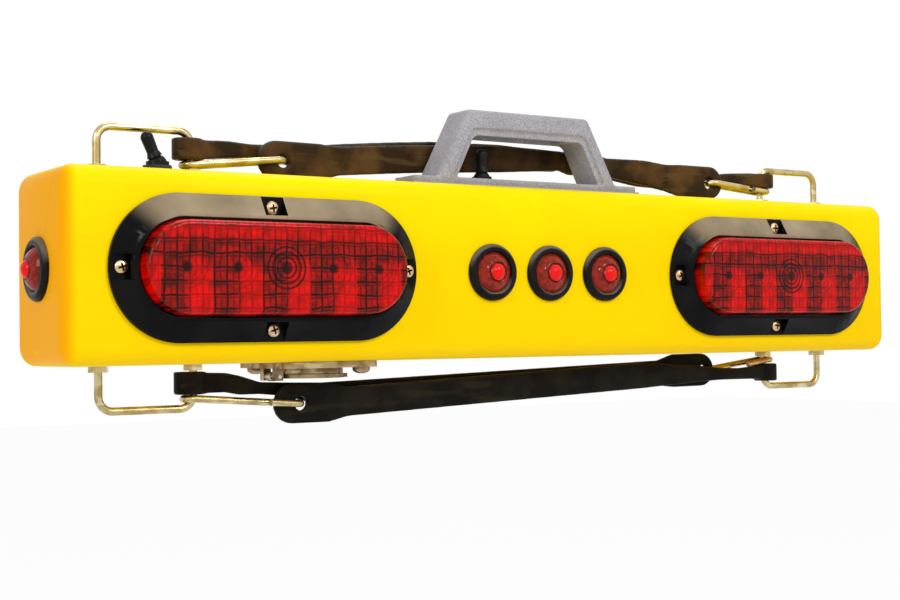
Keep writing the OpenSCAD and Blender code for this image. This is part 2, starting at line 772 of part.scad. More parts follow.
// Boot: a foot and a low dome with a slot that the lever moves in
module boot_shape() {
  difference() {
    union() {
      cylinder(d = boot_d, h = boot_foot_t);
      intersection() {
        translate([0, 0, pivot_lift]) sphere(r = dome_r);
        cylinder(r = dome_r, h = 2 * dome_r);
      }
    }
    translate([0, 0, pivot_lift]) sphere(d = ball_d + 2 * ball_gap);
    translate([0, 0, -cut]) cylinder(d = ball_d + 2 * ball_gap, h = pivot_lift + cut);
    for (s = [-1:1]) translate([0, 0, pivot_lift]) rotate([0, s * (lever_lean + 1), 0])
      cylinder(d = stem_d + 1, h = 2 * dome_r);
  }
}

// Lever: a ball, a stem and the sleeve that covers them
module lever_shape() {
  r = lever_d / 2;
  foot_r = r + 0.9;
  difference() {
    union() {
      sphere(d = ball_d);
      cylinder(d = stem_d, h = dome_r + 2);
      translate([0, 0, dome_r - 1.2]) cylinder(r1 = foot_r, r2 = r * 0.92, h = 3.2);
      translate([0, 0, dome_r + 2])
        cylinder(r1 = r * 0.92, r2 = r, h = lever_h - pivot_lift - dome_r - 2 - r);
      translate([0, 0, lever_h - pivot_lift - r]) sphere(r = r);
    }
    difference() {
      sphere(r = dome_r + dome_gap);
      cylinder(d = stem_d, h = dome_r + 2);
      sphere(d = ball_d);
    }
  }
}

module power_switch() color("#8a8a8c")
  translate([-power_x, handle_mid, power_seat]) switch_shape(dress_nut_t);
module power_switch_nut() color("#1c1b1a")
  translate([-power_x, handle_mid, top_z]) hex_nut(dress_nut_w, dress_nut_t, neck_d + 2 * pin_gap);
module power_boot() color("#151515") translate([-power_x, handle_mid, power_seat]) boot_shape();
module power_lever() color("#151515")
  translate([-power_x, handle_mid, power_seat + pivot_lift]) rotate([0, -lever_lean, 0]) lever_shape();
module mode_switch() color("#8a8a8c")
  translate([-mode_x, handle_mid, mode_seat]) switch_shape(pad_t + base_t);
module mode_boot() color("#151515") translate([-mode_x, handle_mid, mode_seat]) boot_shape();
module mode_lever() color("#151515") translate([-mode_x, handle_mid, mode_seat + pivot_lift]) lever_shape();

// Wire bails

// Bail above a face at z = 0, from the inner leg to the outer leg along +X
module bail_shape(r = leg_r) {
  span = bail_span;
  b = bail_bend;
  for (x = [0, span]) translate([x, 0, -bail_end]) cylinder(r = r, h = bail_end + bail_h - b);
  translate([b, 0, bail_h]) rotate([0, 90, 0]) cylinder(r = r, h = span - 2 * b);
  translate([b, 0, bail_h - b]) rotate([90, 0, 180]) rotate_extrude(angle = 90)
    translate([b, 0]) circle(r = r);
  translate([span - b, 0, bail_h - b]) rotate([90, 0, 0]) rotate_extrude(angle = 90)
    translate([b, 0]) circle(r = r);
}

// Puts a bail on one of the four places; sx is the side and sz is up or down
module bail_at(sx, sz, r = leg_r) {
  mirror([sx < 0 ? 1 : 0, 0, 0]) mirror([0, 0, sz < 0 ? 1 : 0])
    translate([bail_in, bail_mid, top_z]) bail_shape(r);
}

module top_left_bail() color("#d8b23c") bail_at(-1, 1);
module top_right_bail() color("#d8b23c") bail_at(1, 1);
module bottom_left_bail() color("#d8b23c") bail_at(-1, -1);
module bottom_right_bail() color("#d8b23c") bail_at(1, -1);

module bail_outer_nuts() color("#c9b06a") {
  for (m = [0, 1]) mirror([0, 0, m]) translate([0, 0, top_z]) bail_hole_pattern()
    hex_nut(bail_nut_w, bail_nut_t, bail_wire + 2 * pin_gap);
}

module bail_inner_nuts() color("#c9b06a") {
  for (m = [0, 1]) mirror([0, 0, m]) translate([0, 0, top_z - wall - inner_nut_t]) bail_hole_pattern()
    hex_nut(bail_nut_w, inner_nut_t, bail_wire + 2 * pin_gap);
}

// Straps

// Band through stations of x, y, middle height, half width, half thickness and roll
module ribbon(st) {
  n = len(st);
  pts = [for (s = st) let (c = cos(s[5]), d = sin(s[5])) each [for (k = [[-1, -1], [1, -1], [1, 1], [-1, 1]])
    [s[0], s[1] + k[0] * s[4] * c - k[1] * s[3] * d, s[2] + k[0] * s[4] * d + k[1] * s[3] * c]]];
  sides = [for (i = [0:n - 2], k = [0:3])
    let (a = 4 * i + k, b = 4 * i + (k + 1) % 4) each [[b, a, b + 4], [b + 4, a, a + 4]]];
  e = 4 * (n - 1);
  ends = [[0, 1, 2], [0, 2, 3], [e + 2, e + 1, e], [e + 3, e + 2, e]];
  polyhedron(points = pts, faces = concat(sides, ends));
}

// Stations from the root of a round-ended paddle to its tip at x
function paddle_end(x, y, z, roll) = let (r = paddle_w / 2)
  [for (i = [6:-1:0]) let (a = 90 * i / 6) [x - r * (1 - cos(a)), y, z, max(r * sin(a), 2), half_t, roll]];

// Stations where two straps twist half a turn round their common middle line, from the
// one behind, which they start from, to the one in front; turn is the way round
function twist(x0, x1, y, z0, z1, turn, n = 8) =
  [for (i = [0:n]) let (f = i / n, a = turn * 180 * f)
    [x0 + (x1 - x0) * f, y + pair_gap / 2 * cos(a), z0 + (z1 - z0) * f + pair_gap / 2 * sin(a),
      band - 2.5, half_t, a]];

// Strap along +X from its loop round the inner leg of a left bail to its paddle; loop is
// the loop's middle height and its width, and hole is where the hook goes through
module strap_shape(loop, stations, tip, hole) {
  slot = loop_slack;
  r = leg_r + loose;
  difference() {
    union() {
      translate([-bail_in, bail_mid, loop[0] - loop[1] / 2]) {
        cylinder(r = loop_r, h = loop[1]);
        translate([-slot, 0, 0]) cylinder(r = loop_r, h = loop[1]);
        translate([-slot, -loop_r, 0]) cube([slot, 2 * loop_r, loop[1]]);
      }
      ribbon(concat(stations, paddle_end(tip[0], tip[1], tip[2], tip[3])));
    }
    translate([-bail_in, bail_mid, loop[0] - loop[1]]) {
      cylinder(r = r, h = 2 * loop[1]);
      translate([-slot, 0, 0]) cylinder(r = r, h = 2 * loop[1]);
      translate([-slot, -r, 0]) cube([slot, 2 * r, 2 * loop[1]]);
    }
    translate([hole[0], hole[1] + 10, hole[2]]) rotate([90, 0, 0]) cylinder(d = paddle_hole_d, h = 20);
  }
}

band = strap_w / 2;
half_t = strap_t / 2;
pair_gap = strap_t + 2;
front_run = handle_mid + handle_d / 2 + half_t + 1.4;
rear_run = front_run + pair_gap;
pair_mid = (front_run + rear_run) / 2 + 2;
loop_out = leg_r + loose + 1;
loop_slack = 5;
twist_out = 192.5;
twist_in = 146.5;

// Heights of hooks and loops above or below the body's faces
low_hook = bail_nut_t + hook_r + 0.25;
low_loop = low_hook + hook_r + 0.7 + loop_w / 2;
high_loop_w = loop_w - 2.2;
high_loop = bail_h - leg_r - 0.35 - high_loop_w / 2;
under_loop_w = loop_w + 0.6;

module top_rear_strap() color("#2b2a24") {
  z = top_z;
  y = bail_mid;
  near = -bail_in;
  far = bail_in;
  strap_shape([z + low_loop, loop_w], concat([
    [near + loop_out, y + 0.5, z + low_loop, loop_w / 2 - 0.1, 4.6, 0],
    [near + 10, y + 1.5, z + low_loop + 0.6, loop_w / 2 - 1, 4.4, 0],
    [near + 27, y + 5, z + 18.2, 5.4, 4, 0],
    [near + 45, y + 11, z + 19, 4.4, 3.6, 0],
    [near + 61, y + 12.6, z + 18.8, 5.4, 3.2, 0],
    [near + 95, y + 12.6, z + 17.4, band - 1, half_t, 0],
    [near + 115, rear_run - 3, z + 18.6, band, half_t, 0],
    [near + 149, rear_run - 1, z + 21.8, band, half_t, 0],
    [near + 185, rear_run, z + 24.6, band, half_t, 0],
    [0, rear_run, z + 26, band, half_t, 0]],
    twist(far - twist_out, far - twist_in, pair_mid, z + 26, z + 23.4, 1), [
    [far - 117, front_run - 4, z + 20.4, band, half_t, 180],
    [far - 98, y + 1.2, z + 17, band + 0.6, half_t, 180],
    [far - 86, y, z + 15.6, paddle_w / 2 - 0.4, half_t, 180]]),
    [far - 42.7, y, z + 15.2, 180], [far - tr_run, y, z + tr_hole]);
}

module top_front_strap() color("#2b2a24") {
  z = top_z;
  y = bail_mid;
  near = -bail_in;
  far = bail_in;
  mirror([1, 0, 0]) strap_shape([z + high_loop, high_loop_w], concat([
    [near + loop_out, y + 0.5, z + high_loop, high_loop_w / 2 - 0.1, 4.6, 0],
    [near + 11, y + 1.5, z + 20, 4.9, 4.4, 0],
    [near + 27, y + 7.4, z + 20.6, 4, 3.8, 0],
    [near + 42, y + 12, z + 19.8, 3.6, 3.3, 0],
    [near + 61, y + 12.6, z + 18.6, 5.4, 3, 0],
    [near + 93, y + 12.6, z + 18.4, band - 1, half_t, 0],
    [near + 119, rear_run - 3, z + 20.6, band, half_t, 0]],
    [for (t = twist(far - twist_in, far - twist_out, pair_mid, z + 23.4, z + 26, -1))
      [-t[0], t[1], t[2], t[3], t[4], t[5]]], [
    [0, front_run, z + 24.6, band, half_t, 180],
    [75, front_run, z + 20.4, band, half_t, 180],
    [96, front_run - 1, z + 18.8, band, half_t, 180],
    [far - 106, front_run - 7, z + 15, band, half_t, 180],
    [far - 89, y, z + 13, paddle_w / 2 - 0.4, half_t, 180]]),
    [far - 45.7, y, z + 12.9, 180], [far - tl_run, y, z + tl_hole]);
}

module bottom_rear_strap() color("#1d1c19") {
  z = -top_z;
  y = bail_mid;
  near = -bail_in;
  far = bail_in;
  strap_shape([z - 11.9, under_loop_w], [
    [near + loop_out, y + 1, z - 11.9, under_loop_w / 2 - 0.7, 4.6, 0],
    [near + 22, y + 1.5, z - 12.2, under_loop_w / 2 - 1, 4.4, 0],
    [near + 32, y + 2, z - 14.2, 5.9, 4, 0],
    [near + 47, y + 4, z - 16.4, 3.8, 3.2, 0],
    [near + 67, y + 6, z - 17.8, 4.4, 2.6, 0],
    [near + 93, y + 6.4, z - 21.6, band - 2, half_t, 0],
    [near + 120, y + 6, z - 22.8, band, half_t, 0],
    [-30, y + 5.5, z - 19.9, band, half_t, 0],
    [far - 105, y + 6, z - 14.8, band, half_t, 0],
    [far - 90, y + 6, z - 13.4, paddle_w / 2, half_t, 0]],
    [far - br_tip, y + 6, z - 13.2, 0], [far - br_run, y + 6, z - br_hole]);
}

module bottom_front_strap() color("#1d1c19") {
  z = -top_z;
  y = bail_mid;
  near = -bail_in;
  far = bail_in;
  mirror([1, 0, 0]) strap_shape([z - 16.5, under_loop_w - 0.4], [
    [near + loop_out, y - 1, z - 16.4, under_loop_w / 2 - 1, 4.6, 0],
    [near + 14, y - 2.5, z - 16.6, under_loop_w / 2 - 2.2, 4.2, 0],
    [near + 31, y - 4.4, z - 16.9, 4.3, 3, 0],
    [near + 51, y - 5.2, z - 16.6, 4.6, 2.7, 0],
    [near + 79, y - 5.2, z - 15.8, band - 3, half_t, 0],
    [near + 132, y - 5, z - 16, band, half_t, 0],
    [30, y - 5, z - 22.2, band, half_t, 0],
    [far - 106, y - 5, z - 26.6, band, half_t, 0],
    [far - 92, y - 5, z - 26.8, paddle_w / 2, half_t, 0]],
    [far - bl_tip, y - 5, z - 26.8, 0], [far - bl_run, y - 5, z - bl_hole]);
}

// Round wire swept along points that lie close to one level plane
module wire(pts, r) {
  n = len(pts);
  k = 12;
  dirs = [for (i = [0:n - 1]) let (v = pts[min(i + 1, n - 1)] - pts[max(i - 1, 0)]) v / norm(v)];
  rings = [for (i = [0:n - 1]) let (t = dirs[i], u = [0, 0, 1] - t * t[2], b = u / norm(u), m = cross(b, t))
    each [for (j = [0:k - 1]) pts[i] + r * (cos(j * 360 / k) * m + sin(j * 360 / k) * b)]];
  sides = [for (i = [0:n - 2], j = [0:k - 1])
    let (a = k * i + j, b = k * i + (j + 1) % k) each [[a, b, b + k], [a, b + k, a + k]]];
  polyhedron(points = rings, faces = concat(sides,
    [[for (j = [k - 1:-1:0]) j]], [[for (j = [0:k - 1]) (n - 1) * k + j]]));
}

// Hook from a bend round a bail leg at the origin to a bend through a paddle at
// [run, drop, rise]; its long side lies behind the leg and both free ends lie in front and
// follow its slope
module hook_shape(run, drop, rise, leg_free, pad_free) {
  px = run - paddle_bend;
  slope = rise / px;
  wire(concat([[leg_free, -hook_bend, slope * leg_free]],
    [for (p = arc(0, 0, hook_bend, 270, 90, 10)) [p[0], p[1], 0]],
    [for (p = arc(px, drop, paddle_bend, 90, -90, 10)) [p[0], p[1], rise]],
    [[px - pad_free, drop - paddle_bend, rise - slope * pad_free]]), hook_r);
}

// Lengths of the hooks' free arms
leg_arm = 22;
long_arm = 36;
short_arm = 12;
pad_arm = 18;

// Distances from the bail legs to the paddle holes, and the heights of those holes
tl_run = 63.5;
tl_hole = 12.7;
tr_run = 56.5;
tr_hole = 15;
bl_run = 71.5;
bl_hole = 26.6;
br_run = 60;
br_hole = 14;
br_tip = 49.5;
bl_tip = 52.8;
tr_hook = 10.5;
bl_hook = 21.5;

module top_left_hook() color("#d9b048") translate([-bail_in, bail_mid, top_z + low_hook])
  hook_shape(tl_run, 0, tl_hole - low_hook, leg_arm, long_arm);
module top_right_hook() color("#d9b048") translate([bail_in, bail_mid, top_z + tr_hook])
  mirror([1, 0, 0]) hook_shape(tr_run, 0, tr_hole - tr_hook, short_arm, long_arm - 3);
module bottom_left_hook() color("#c9a24a") translate([-bail_in - 0.8, bail_mid, -top_z - bl_hook])
  hook_shape(bl_run + 0.8, -5, bl_hook - bl_hole, leg_arm + 2, pad_arm);
module bottom_right_hook() color("#c9a24a") translate([bail_in, bail_mid, -top_z - low_hook])
  mirror([1, 0, 0]) hook_shape(br_run, 6, low_hook - br_hole, leg_arm, pad_arm);

// Connector under the body

module socket_at() {
  translate([-socket_x, socket_mid, -top_z]) children();
}

module socket_shell() color("#b7923e") {
  difference() {
    union() {
      socket_at() {
        translate([0, 0, -socket_flange_t]) linear_extrude(socket_flange_t)
          rounded_rect(socket_w, socket_w, socket_r);
        translate([0, 0, -socket_flange_t - barrel_proud])
          cylinder(d = barrel_d, h = barrel_proud + socket_flange_t + barrel_depth);
      }
      for (s = [-1, 1]) translate([hinge_x - ear_t / 2, socket_mid + s * ear_gap / 2 - (s < 0 ? ear_w : 0),
        lid_z - lid_t / 2 - ear_t / 2])
        cube([ear_t, ear_w, -top_z - socket_flange_t - lid_z + lid_t / 2 + ear_t / 2]);
    }
    socket_at() {
      translate([0, 0, -socket_flange_t - barrel_proud - cut])
        cylinder(d = barrel_d - 2 * barrel_wall,
          h = barrel_proud + socket_flange_t + barrel_depth + 2 * cut);
      for (a = [-1, 1], b = [-1, 1])
        translate([a * socket_pitch / 2, b * socket_pitch / 2, -socket_flange_t - cut])
        cylinder(d = socket_screw_d + 2 * loose, h = socket_flange_t + 2 * cut);
    }
    translate([hinge_x, socket_mid - socket_w / 2, lid_z - lid_t / 2]) rotate([-90, 0, 0])
      cylinder(d = lid_pin_d, h = socket_w);
  }
}

module socket_insert() color("#2a2a2c") {
  r = barrel_d / 2 - barrel_wall;
  difference() {
    socket_at() translate([0, 0, barrel_depth - insert_t]) cylinder(r = r - 0.02, h = insert_t);
    socket_at() for (i = [0:5]) rotate([0, 0, 30 + i * 60])
      translate([blade_ring - blade_t / 2, -blade_w / 2, 0]) cube([blade_t, blade_w, 2 * barrel_depth]);
    socket_at() cylinder(d = centre_pin_d, h = 2 * barrel_depth);
  }
}

module socket_contacts() color("#c8a552") {
  socket_at() {
    for (i = [0:5]) rotate([0, 0, 30 + i * 60])
      translate([blade_ring - blade_t / 2, -blade_w / 2, contact_gap])
      cube([blade_t, blade_w, barrel_depth - 2]);
    translate([0, 0, contact_gap - 2]) cylinder(d = centre_pin_d, h = barrel_depth);
  }
}

module socket_screws() color("#b08b4a") {
  socket_at() for (a = [-1, 1], b = [-1, 1])
    translate([a * socket_pitch / 2, b * socket_pitch / 2, -socket_flange_t]) mirror([0, 0, 1])
      pan_screw(socket_screw_d, socket_head_d, socket_head_t, socket_screw_len);
}

// Lid with two hinge knuckles on the left and a short lifting tab on the right
module socket_lid() color("#a8894a") {
  lid_r = barrel_d / 2 + lid_lap;
  difference() {
    union() {
      translate([-socket_x, socket_mid, lid_z - lid_t]) cylinder(r = lid_r, h = lid_t);
      translate([-socket_x + lid_r - lid_tab + 1.5, socket_mid - lid_tab_w / 2, lid_z - lid_t])
        cube([lid_tab, lid_tab_w, lid_t]);
      for (s = [-1, 1]) translate([hinge_x, socket_mid + s * (ear_gap / 2 - loose) - (s > 0 ? knuckle_w : 0),
        lid_z - lid_t / 2]) {
        rotate([-90, 0, 0]) cylinder(d = knuckle_d, h = knuckle_w);
        translate([0, 0, -lid_t / 2]) cube([2 * hinge_gap, knuckle_w, lid_t]);
      }
    }
    translate([hinge_x, socket_mid - socket_w / 2, lid_z - lid_t / 2]) rotate([-90, 0, 0])
      cylinder(d = lid_pin_d + 2 * pin_gap, h = socket_w);
  }
}

module lid_pin() color("silver") {
  len = ear_gap + 2 * ear_w + 1;
  translate([hinge_x, socket_mid - len / 2, lid_z - lid_t / 2]) rotate([-90, 0, 0])
    cylinder(d = lid_pin_d, h = len);
}

module lid_spring() color("silver") {
  translate([hinge_x, socket_mid, lid_z - lid_t / 2]) for (i = [-2:2])
    translate([0, i * 1.05 * spring_wire, 0]) rotate([-90, 0, 0]) rotate_extrude()
      translate([lid_pin_d / 2 + 1.2, 0]) circle(d = spring_wire, $fn = 16);
  translate([hinge_x, socket_mid, lid_z - lid_t / 2]) rotate([90, 0, 0]) rotate_extrude()
    translate([lid_pin_d / 2 + 0.8, -3]) square([0.6, 6]);
}

// Inside the body

cell_d = 18.6;
cell_l = 70;
cell_span = cell_d + 0.2;
pack_wrap = 0.3;
bracket_w = 18;
bracket_t = 2;
board_x = 120;
board_w = 70;
board_h = 34;
post_h = 6;
post_d = 5.5;
post_gap = 5;
post_screw_d = 3;
post_head_t = 1.8;
board_bite = 2;
board_pin_d = 2.5;
chip_w = 16;
plug_w = 12;
plug_h = 20;
part_h = 9;

module post_places() {
  for (a = [-1, 1], b = [-1, 1])
    translate([board_x + a * (board_w / 2 - post_gap), -cover_t, b * (board_h / 2 - post_gap)])
      rotate([90, 0, 0]) children();
}

module board_holes() {
  post_places() translate([0, 0, -board_bite]) cylinder(d = board_pin_d, h = board_bite + cover_rib_h + cut);
}

// Two cells side by side in one wrap, lying on the cover's ribs
module battery_pack() color("#3f6fb0") {
  translate([0, -cover_t - cover_rib_h - cell_d / 2, 0]) hull()
    for (s = [-1, 1]) translate([-cell_l / 2, 0, s * cell_span / 2]) rotate([0, 90, 0])
      cylinder(d = cell_d, h = cell_l, $fn = 32);
}

// Bracket that stands on the cover and holds the pack down
module battery_bracket() color("#303034") {
  inner_h = cell_d + cover_rib_h + pack_wrap;
  inner_w = cell_span + cell_d + 2 * pack_wrap;
  translate([-bracket_w / 2, -cover_t - inner_h - bracket_t, 0]) difference() {
    translate([0, 0, -inner_w / 2 - bracket_t])
      cube([bracket_w, inner_h + bracket_t, inner_w + 2 * bracket_t]);
    translate([-cut, bracket_t, -inner_w / 2]) cube([bracket_w + 2 * cut, inner_h + cut, inner_w]);
  }
}

// Board with a chip, a plug and a coil on it
module receiver_board() color("#2f6b3c") {
  y = -cover_t - cover_rib_h - post_h - board_t;
  difference() {
    translate([board_x, y, 0]) {
      translate([-board_w / 2, 0, -board_h / 2]) cube([board_w, board_t, board_h]);
      translate([-chip_w - post_gap, -chip_t, -chip_w / 2]) cube([chip_w, chip_t + cut, chip_w]);
      translate([2, -part_h, -plug_h / 2]) cube([plug_w, part_h + cut, plug_h]);
      translate([plug_w + 6, -chip_t, -plug_h / 4]) cube([plug_w / 2, chip_t + cut, plug_h / 2]);
    }
    post_places() cylinder(d = post_screw_d + 2 * pin_gap, h = cover_rib_h + post_h + 2 * board_t);
  }
}

// Four posts that hold the board off the cover
module board_screws() color("silver") {
  under = cover_rib_h + post_h;
  post_places() {
    cylinder(d = post_d, h = under);
    translate([0, 0, -board_bite]) cylinder(d = board_pin_d, h = board_bite + 1);
    cylinder(d = post_screw_d, h = under + board_t + cut);
    translate([0, 0, under + board_t]) cylinder(d = post_d, h = post_head_t);
  }
}

body_shell();
rear_cover();
cover_gasket();
cover_screws();
left_lamp_flange();
right_lamp_flange();
left_lamp_lens();
right_lamp_lens();
left_lamp_tub();
right_lamp_tub();
left_led_board();
right_led_board();
left_flange_screws();
right_flange_screws();
left_id_grommet();
centre_id_grommet();
right_id_grommet();
left_id_lamp();
centre_id_lamp();
right_id_lamp();
left_end_grommet();
right_end_grommet();
left_end_lamp();
right_end_lamp();
handle_grip();
handle_pad();
handle_screws();
power_switch();
power_switch_nut();
power_boot();
power_lever();
mode_switch();
mode_boot();
mode_lever();
top_left_bail();
top_right_bail();
bottom_left_bail();
bottom_right_bail();
bail_outer_nuts();
bail_inner_nuts();
top_front_strap();
top_rear_strap();
bottom_front_strap();
bottom_rear_strap();
top_left_hook();
top_right_hook();
bottom_left_hook();
bottom_right_hook();
socket_shell();
socket_insert();
socket_contacts();
socket_screws();
socket_lid();
lid_pin();
lid_spring();
battery_pack();
battery_bracket();
receiver_board();
board_screws();
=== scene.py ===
import bpy
import bmesh
import math
from mathutils import Matrix, Vector


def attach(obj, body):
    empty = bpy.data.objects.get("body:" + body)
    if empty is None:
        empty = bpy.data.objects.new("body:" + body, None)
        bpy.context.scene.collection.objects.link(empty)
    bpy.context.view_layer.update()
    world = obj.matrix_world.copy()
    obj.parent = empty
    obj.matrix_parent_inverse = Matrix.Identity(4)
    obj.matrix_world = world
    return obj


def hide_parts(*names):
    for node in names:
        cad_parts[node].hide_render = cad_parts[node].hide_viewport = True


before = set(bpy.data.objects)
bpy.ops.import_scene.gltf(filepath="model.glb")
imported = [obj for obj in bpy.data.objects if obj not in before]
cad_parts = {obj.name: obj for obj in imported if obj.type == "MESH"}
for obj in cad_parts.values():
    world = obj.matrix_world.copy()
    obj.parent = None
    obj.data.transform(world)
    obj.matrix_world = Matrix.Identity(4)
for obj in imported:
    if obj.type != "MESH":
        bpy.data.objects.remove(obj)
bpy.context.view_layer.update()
print("stage 1: frame loaded")

mm = 0.001
boardBody = "board"
scene = bpy.context.scene


# Small helpers

meshCleaning = {
    "merge": 0.002 * mm,
    "flatAngle": 0.5,
}


def addObject(name, mesh):
    obj = bpy.data.objects.new(name, mesh)
    scene.collection.objects.link(obj)
    return obj


def meshFromBmesh(name, bm):
    mesh = bpy.data.meshes.new(name)
    bm.to_mesh(mesh)
    bm.free()
    return addObject(name, mesh)


def bakeModifiers(obj):
    # replaces the object's mesh by the evaluated one and drops the modifiers
    graph = bpy.context.evaluated_depsgraph_get()
    mesh = bpy.data.meshes.new_from_object(obj.evaluated_get(graph))
    obj.modifiers.clear()
    obj.data = mesh
    return obj


def smoothByAngle(obj, degrees=32):
    for face in obj.data.polygons:
        face.use_smooth = True
    obj.data.set_sharp_from_angle(angle=math.radians(degrees))


def mergedCopy(node, name):
    # a copy of a CAD node with its loose triangles joined up
    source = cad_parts[node]
    bm = bmesh.new()
    bm.from_mesh(source.data)
    bmesh.ops.remove_doubles(bm, verts=bm.verts, dist=meshCleaning["merge"])
    flat = math.radians(meshCleaning["flatAngle"])
    bmesh.ops.dissolve_limit(bm, angle_limit=flat, verts=bm.verts, edges=bm.edges)
    return meshFromBmesh(name, bm)


def dress(obj, material, body, *nodes):
    obj.data.materials.clear()
    obj.data.materials.append(material)
    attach(obj, body)
    if nodes:
        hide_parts(*nodes)
    return obj


# Sizes of the moulded body, as in the CAD

bodySizes = {
    "length": 682 * mm,
    "depth": 88 * mm,
    "height": 116 * mm,
    "edge": 12 * mm,
    "endReach": 9 * mm,
    "pocket": (646 * mm, 80 * mm, 6 * mm),
    "pocketDepth": 5.5 * mm,
    "lampX": 212.5 * mm,
    "lampZ": -1.3 * mm,
    "lampHole": (59.4 * mm, 25.6 * mm),
}


# Shared shader effects, each a group with named inputs and outputs

def newGroup(name, inputs, outputs):
    group = bpy.data.node_groups.new(name, "ShaderNodeTree")
    for label, kind, value in inputs:
        socket = group.interface.new_socket(name=label, in_out="INPUT", socket_type=kind)
        socket.default_value = value
    for label, kind in outputs:
        group.interface.new_socket(name=label, in_out="OUTPUT", socket_type=kind)
    start = group.nodes.new("NodeGroupInput")
    end = group.nodes.new("NodeGroupOutput")
    return group, start, end


def mixColours(tree, factor, low, high):
    # factor is a socket; low and high are sockets or colours
    node = tree.nodes.new("ShaderNodeMix")
    node.data_type = "RGBA"
    tree.links.new(factor, node.inputs["Factor"])
    for label, value in (("A", low), ("B", high)):
        socket = [s for s in node.inputs if s.name == label and s.type == "RGBA"][0]
        if isinstance(value, bpy.types.NodeSocket):
            tree.links.new(value, socket)
        else:
            socket.default_value = (*value, 1)
    return [s for s in node.outputs if s.type == "RGBA"][0]


def mixValues(tree, factor, low, high):
    node = tree.nodes.new("ShaderNodeMapRange")
    tree.links.new(factor, node.inputs["Value"])
    node.inputs["To Min"].default_value = low
    node.inputs["To Max"].default_value = high
    return node.outputs["Result"]


def mathNode(tree, operation, first, second=None, third=None):
    node = tree.nodes.new("ShaderNodeMath")
    node.operation = operation
    for i, value in enumerate((first, second, third)):
        if isinstance(value, bpy.types.NodeSocket):
            tree.links.new(value, node.inputs[i])
        elif value is not None:
            node.inputs[i].default_value = value
    return node.outputs[0]


def smoothStep(tree, place, low, high):
    # runs smoothly from 0 at low to 1 at high
    ramp = tree.nodes.new("ShaderNodeMapRange")
    ramp.interpolation_type = "SMOOTHSTEP"
    tree.links.new(place, ramp.inputs["Value"])
    ramp.inputs["From Min"].default_value = low
    ramp.inputs["From Max"].default_value = high
    return ramp.outputs["Result"]


def makeGrainGroup():
    # fine moulded grain with a slow change of tone over it
    group, start, end = newGroup(
        "mouldGrain",
        [("Grain Scale", "NodeSocketFloat", 900.0), ("Tone Scale", "NodeSocketFloat", 18.0),
         ("Tone Low", "NodeSocketFloat", 0.42), ("Tone High", "NodeSocketFloat", 0.62)],
        [("Height", "NodeSocketFloat"), ("Tone", "NodeSocketFloat")])
    coords = group.nodes.new("ShaderNodeTexCoord")
    grain = group.nodes.new("ShaderNodeTexNoise")
    grain.inputs["Detail"].default_value = 3
    tone = group.nodes.new("ShaderNodeTexNoise")
    tone.inputs["Detail"].default_value = 4
    spread = group.nodes.new("ShaderNodeMapRange")
    links = group.links
    links.new(coords.outputs["Object"], grain.inputs["Vector"])
    links.new(coords.outputs["Object"], tone.inputs["Vector"])
    links.new(start.outputs["Grain Scale"], grain.inputs["Scale"])
    links.new(start.outputs["Tone Scale"], tone.inputs["Scale"])
    links.new(tone.outputs["Fac"], spread.inputs["Value"])
    links.new(start.outputs["Tone Low"], spread.inputs["From Min"])
    links.new(start.outputs["Tone High"], spread.inputs["From Max"])
    links.new(grain.outputs["Fac"], end.inputs["Height"])
    links.new(spread.outputs["Result"], end.inputs["Tone"])
    return group


def makeScuffGroup():
    # thin rubbed lines and small marks
    group, start, end = newGroup(
        "scuffs",
        [("Scale", "NodeSocketFloat", 60.0), ("Stretch", "NodeSocketFloat", 9.0),
         ("Threshold", "NodeSocketFloat", 0.62)],
        [("Mask", "NodeSocketFloat")])
    coords = group.nodes.new("ShaderNodeTexCoord")
    warp = group.nodes.new("ShaderNodeMapping")
    lines = group.nodes.new("ShaderNodeTexNoise")
    lines.inputs["Detail"].default_value = 5
    patches = group.nodes.new("ShaderNodeTexNoise")
    patches.inputs["Detail"].default_value = 2
    product = group.nodes.new("ShaderNodeMath")
    product.operation = "MULTIPLY"
    cut = group.nodes.new("ShaderNodeMapRange")
    scale = group.nodes.new("ShaderNodeCombineXYZ")
    scale.inputs["Y"].default_value = 1
    scale.inputs["Z"].default_value = 1
    shrink = group.nodes.new("ShaderNodeMath")
    shrink.operation = "DIVIDE"
    shrink.inputs[0].default_value = 1
    upperEdge = group.nodes.new("ShaderNodeMath")
    upperEdge.inputs[1].default_value = 0.06
    links = group.links
    links.new(start.outputs["Stretch"], shrink.inputs[1])
    links.new(shrink.outputs[0], scale.inputs["X"])
    links.new(coords.outputs["Object"], warp.inputs["Vector"])
    links.new(scale.outputs[0], warp.inputs["Scale"])
    links.new(warp.outputs[0], lines.inputs["Vector"])
    links.new(coords.outputs["Object"], patches.inputs["Vector"])
    links.new(start.outputs["Scale"], lines.inputs["Scale"])
    patches.inputs["Scale"].default_value = 22
    links.new(lines.outputs["Fac"], cut.inputs["Value"])
    links.new(start.outputs["Threshold"], cut.inputs["From Min"])
    links.new(start.outputs["Threshold"], upperEdge.inputs[0])
    links.new(upperEdge.outputs[0], cut.inputs["From Max"])
    links.new(cut.outputs["Result"], product.inputs[0])
    links.new(patches.outputs["Fac"], product.inputs[1])
    links.new(product.outputs[0], end.inputs["Mask"])
    return group


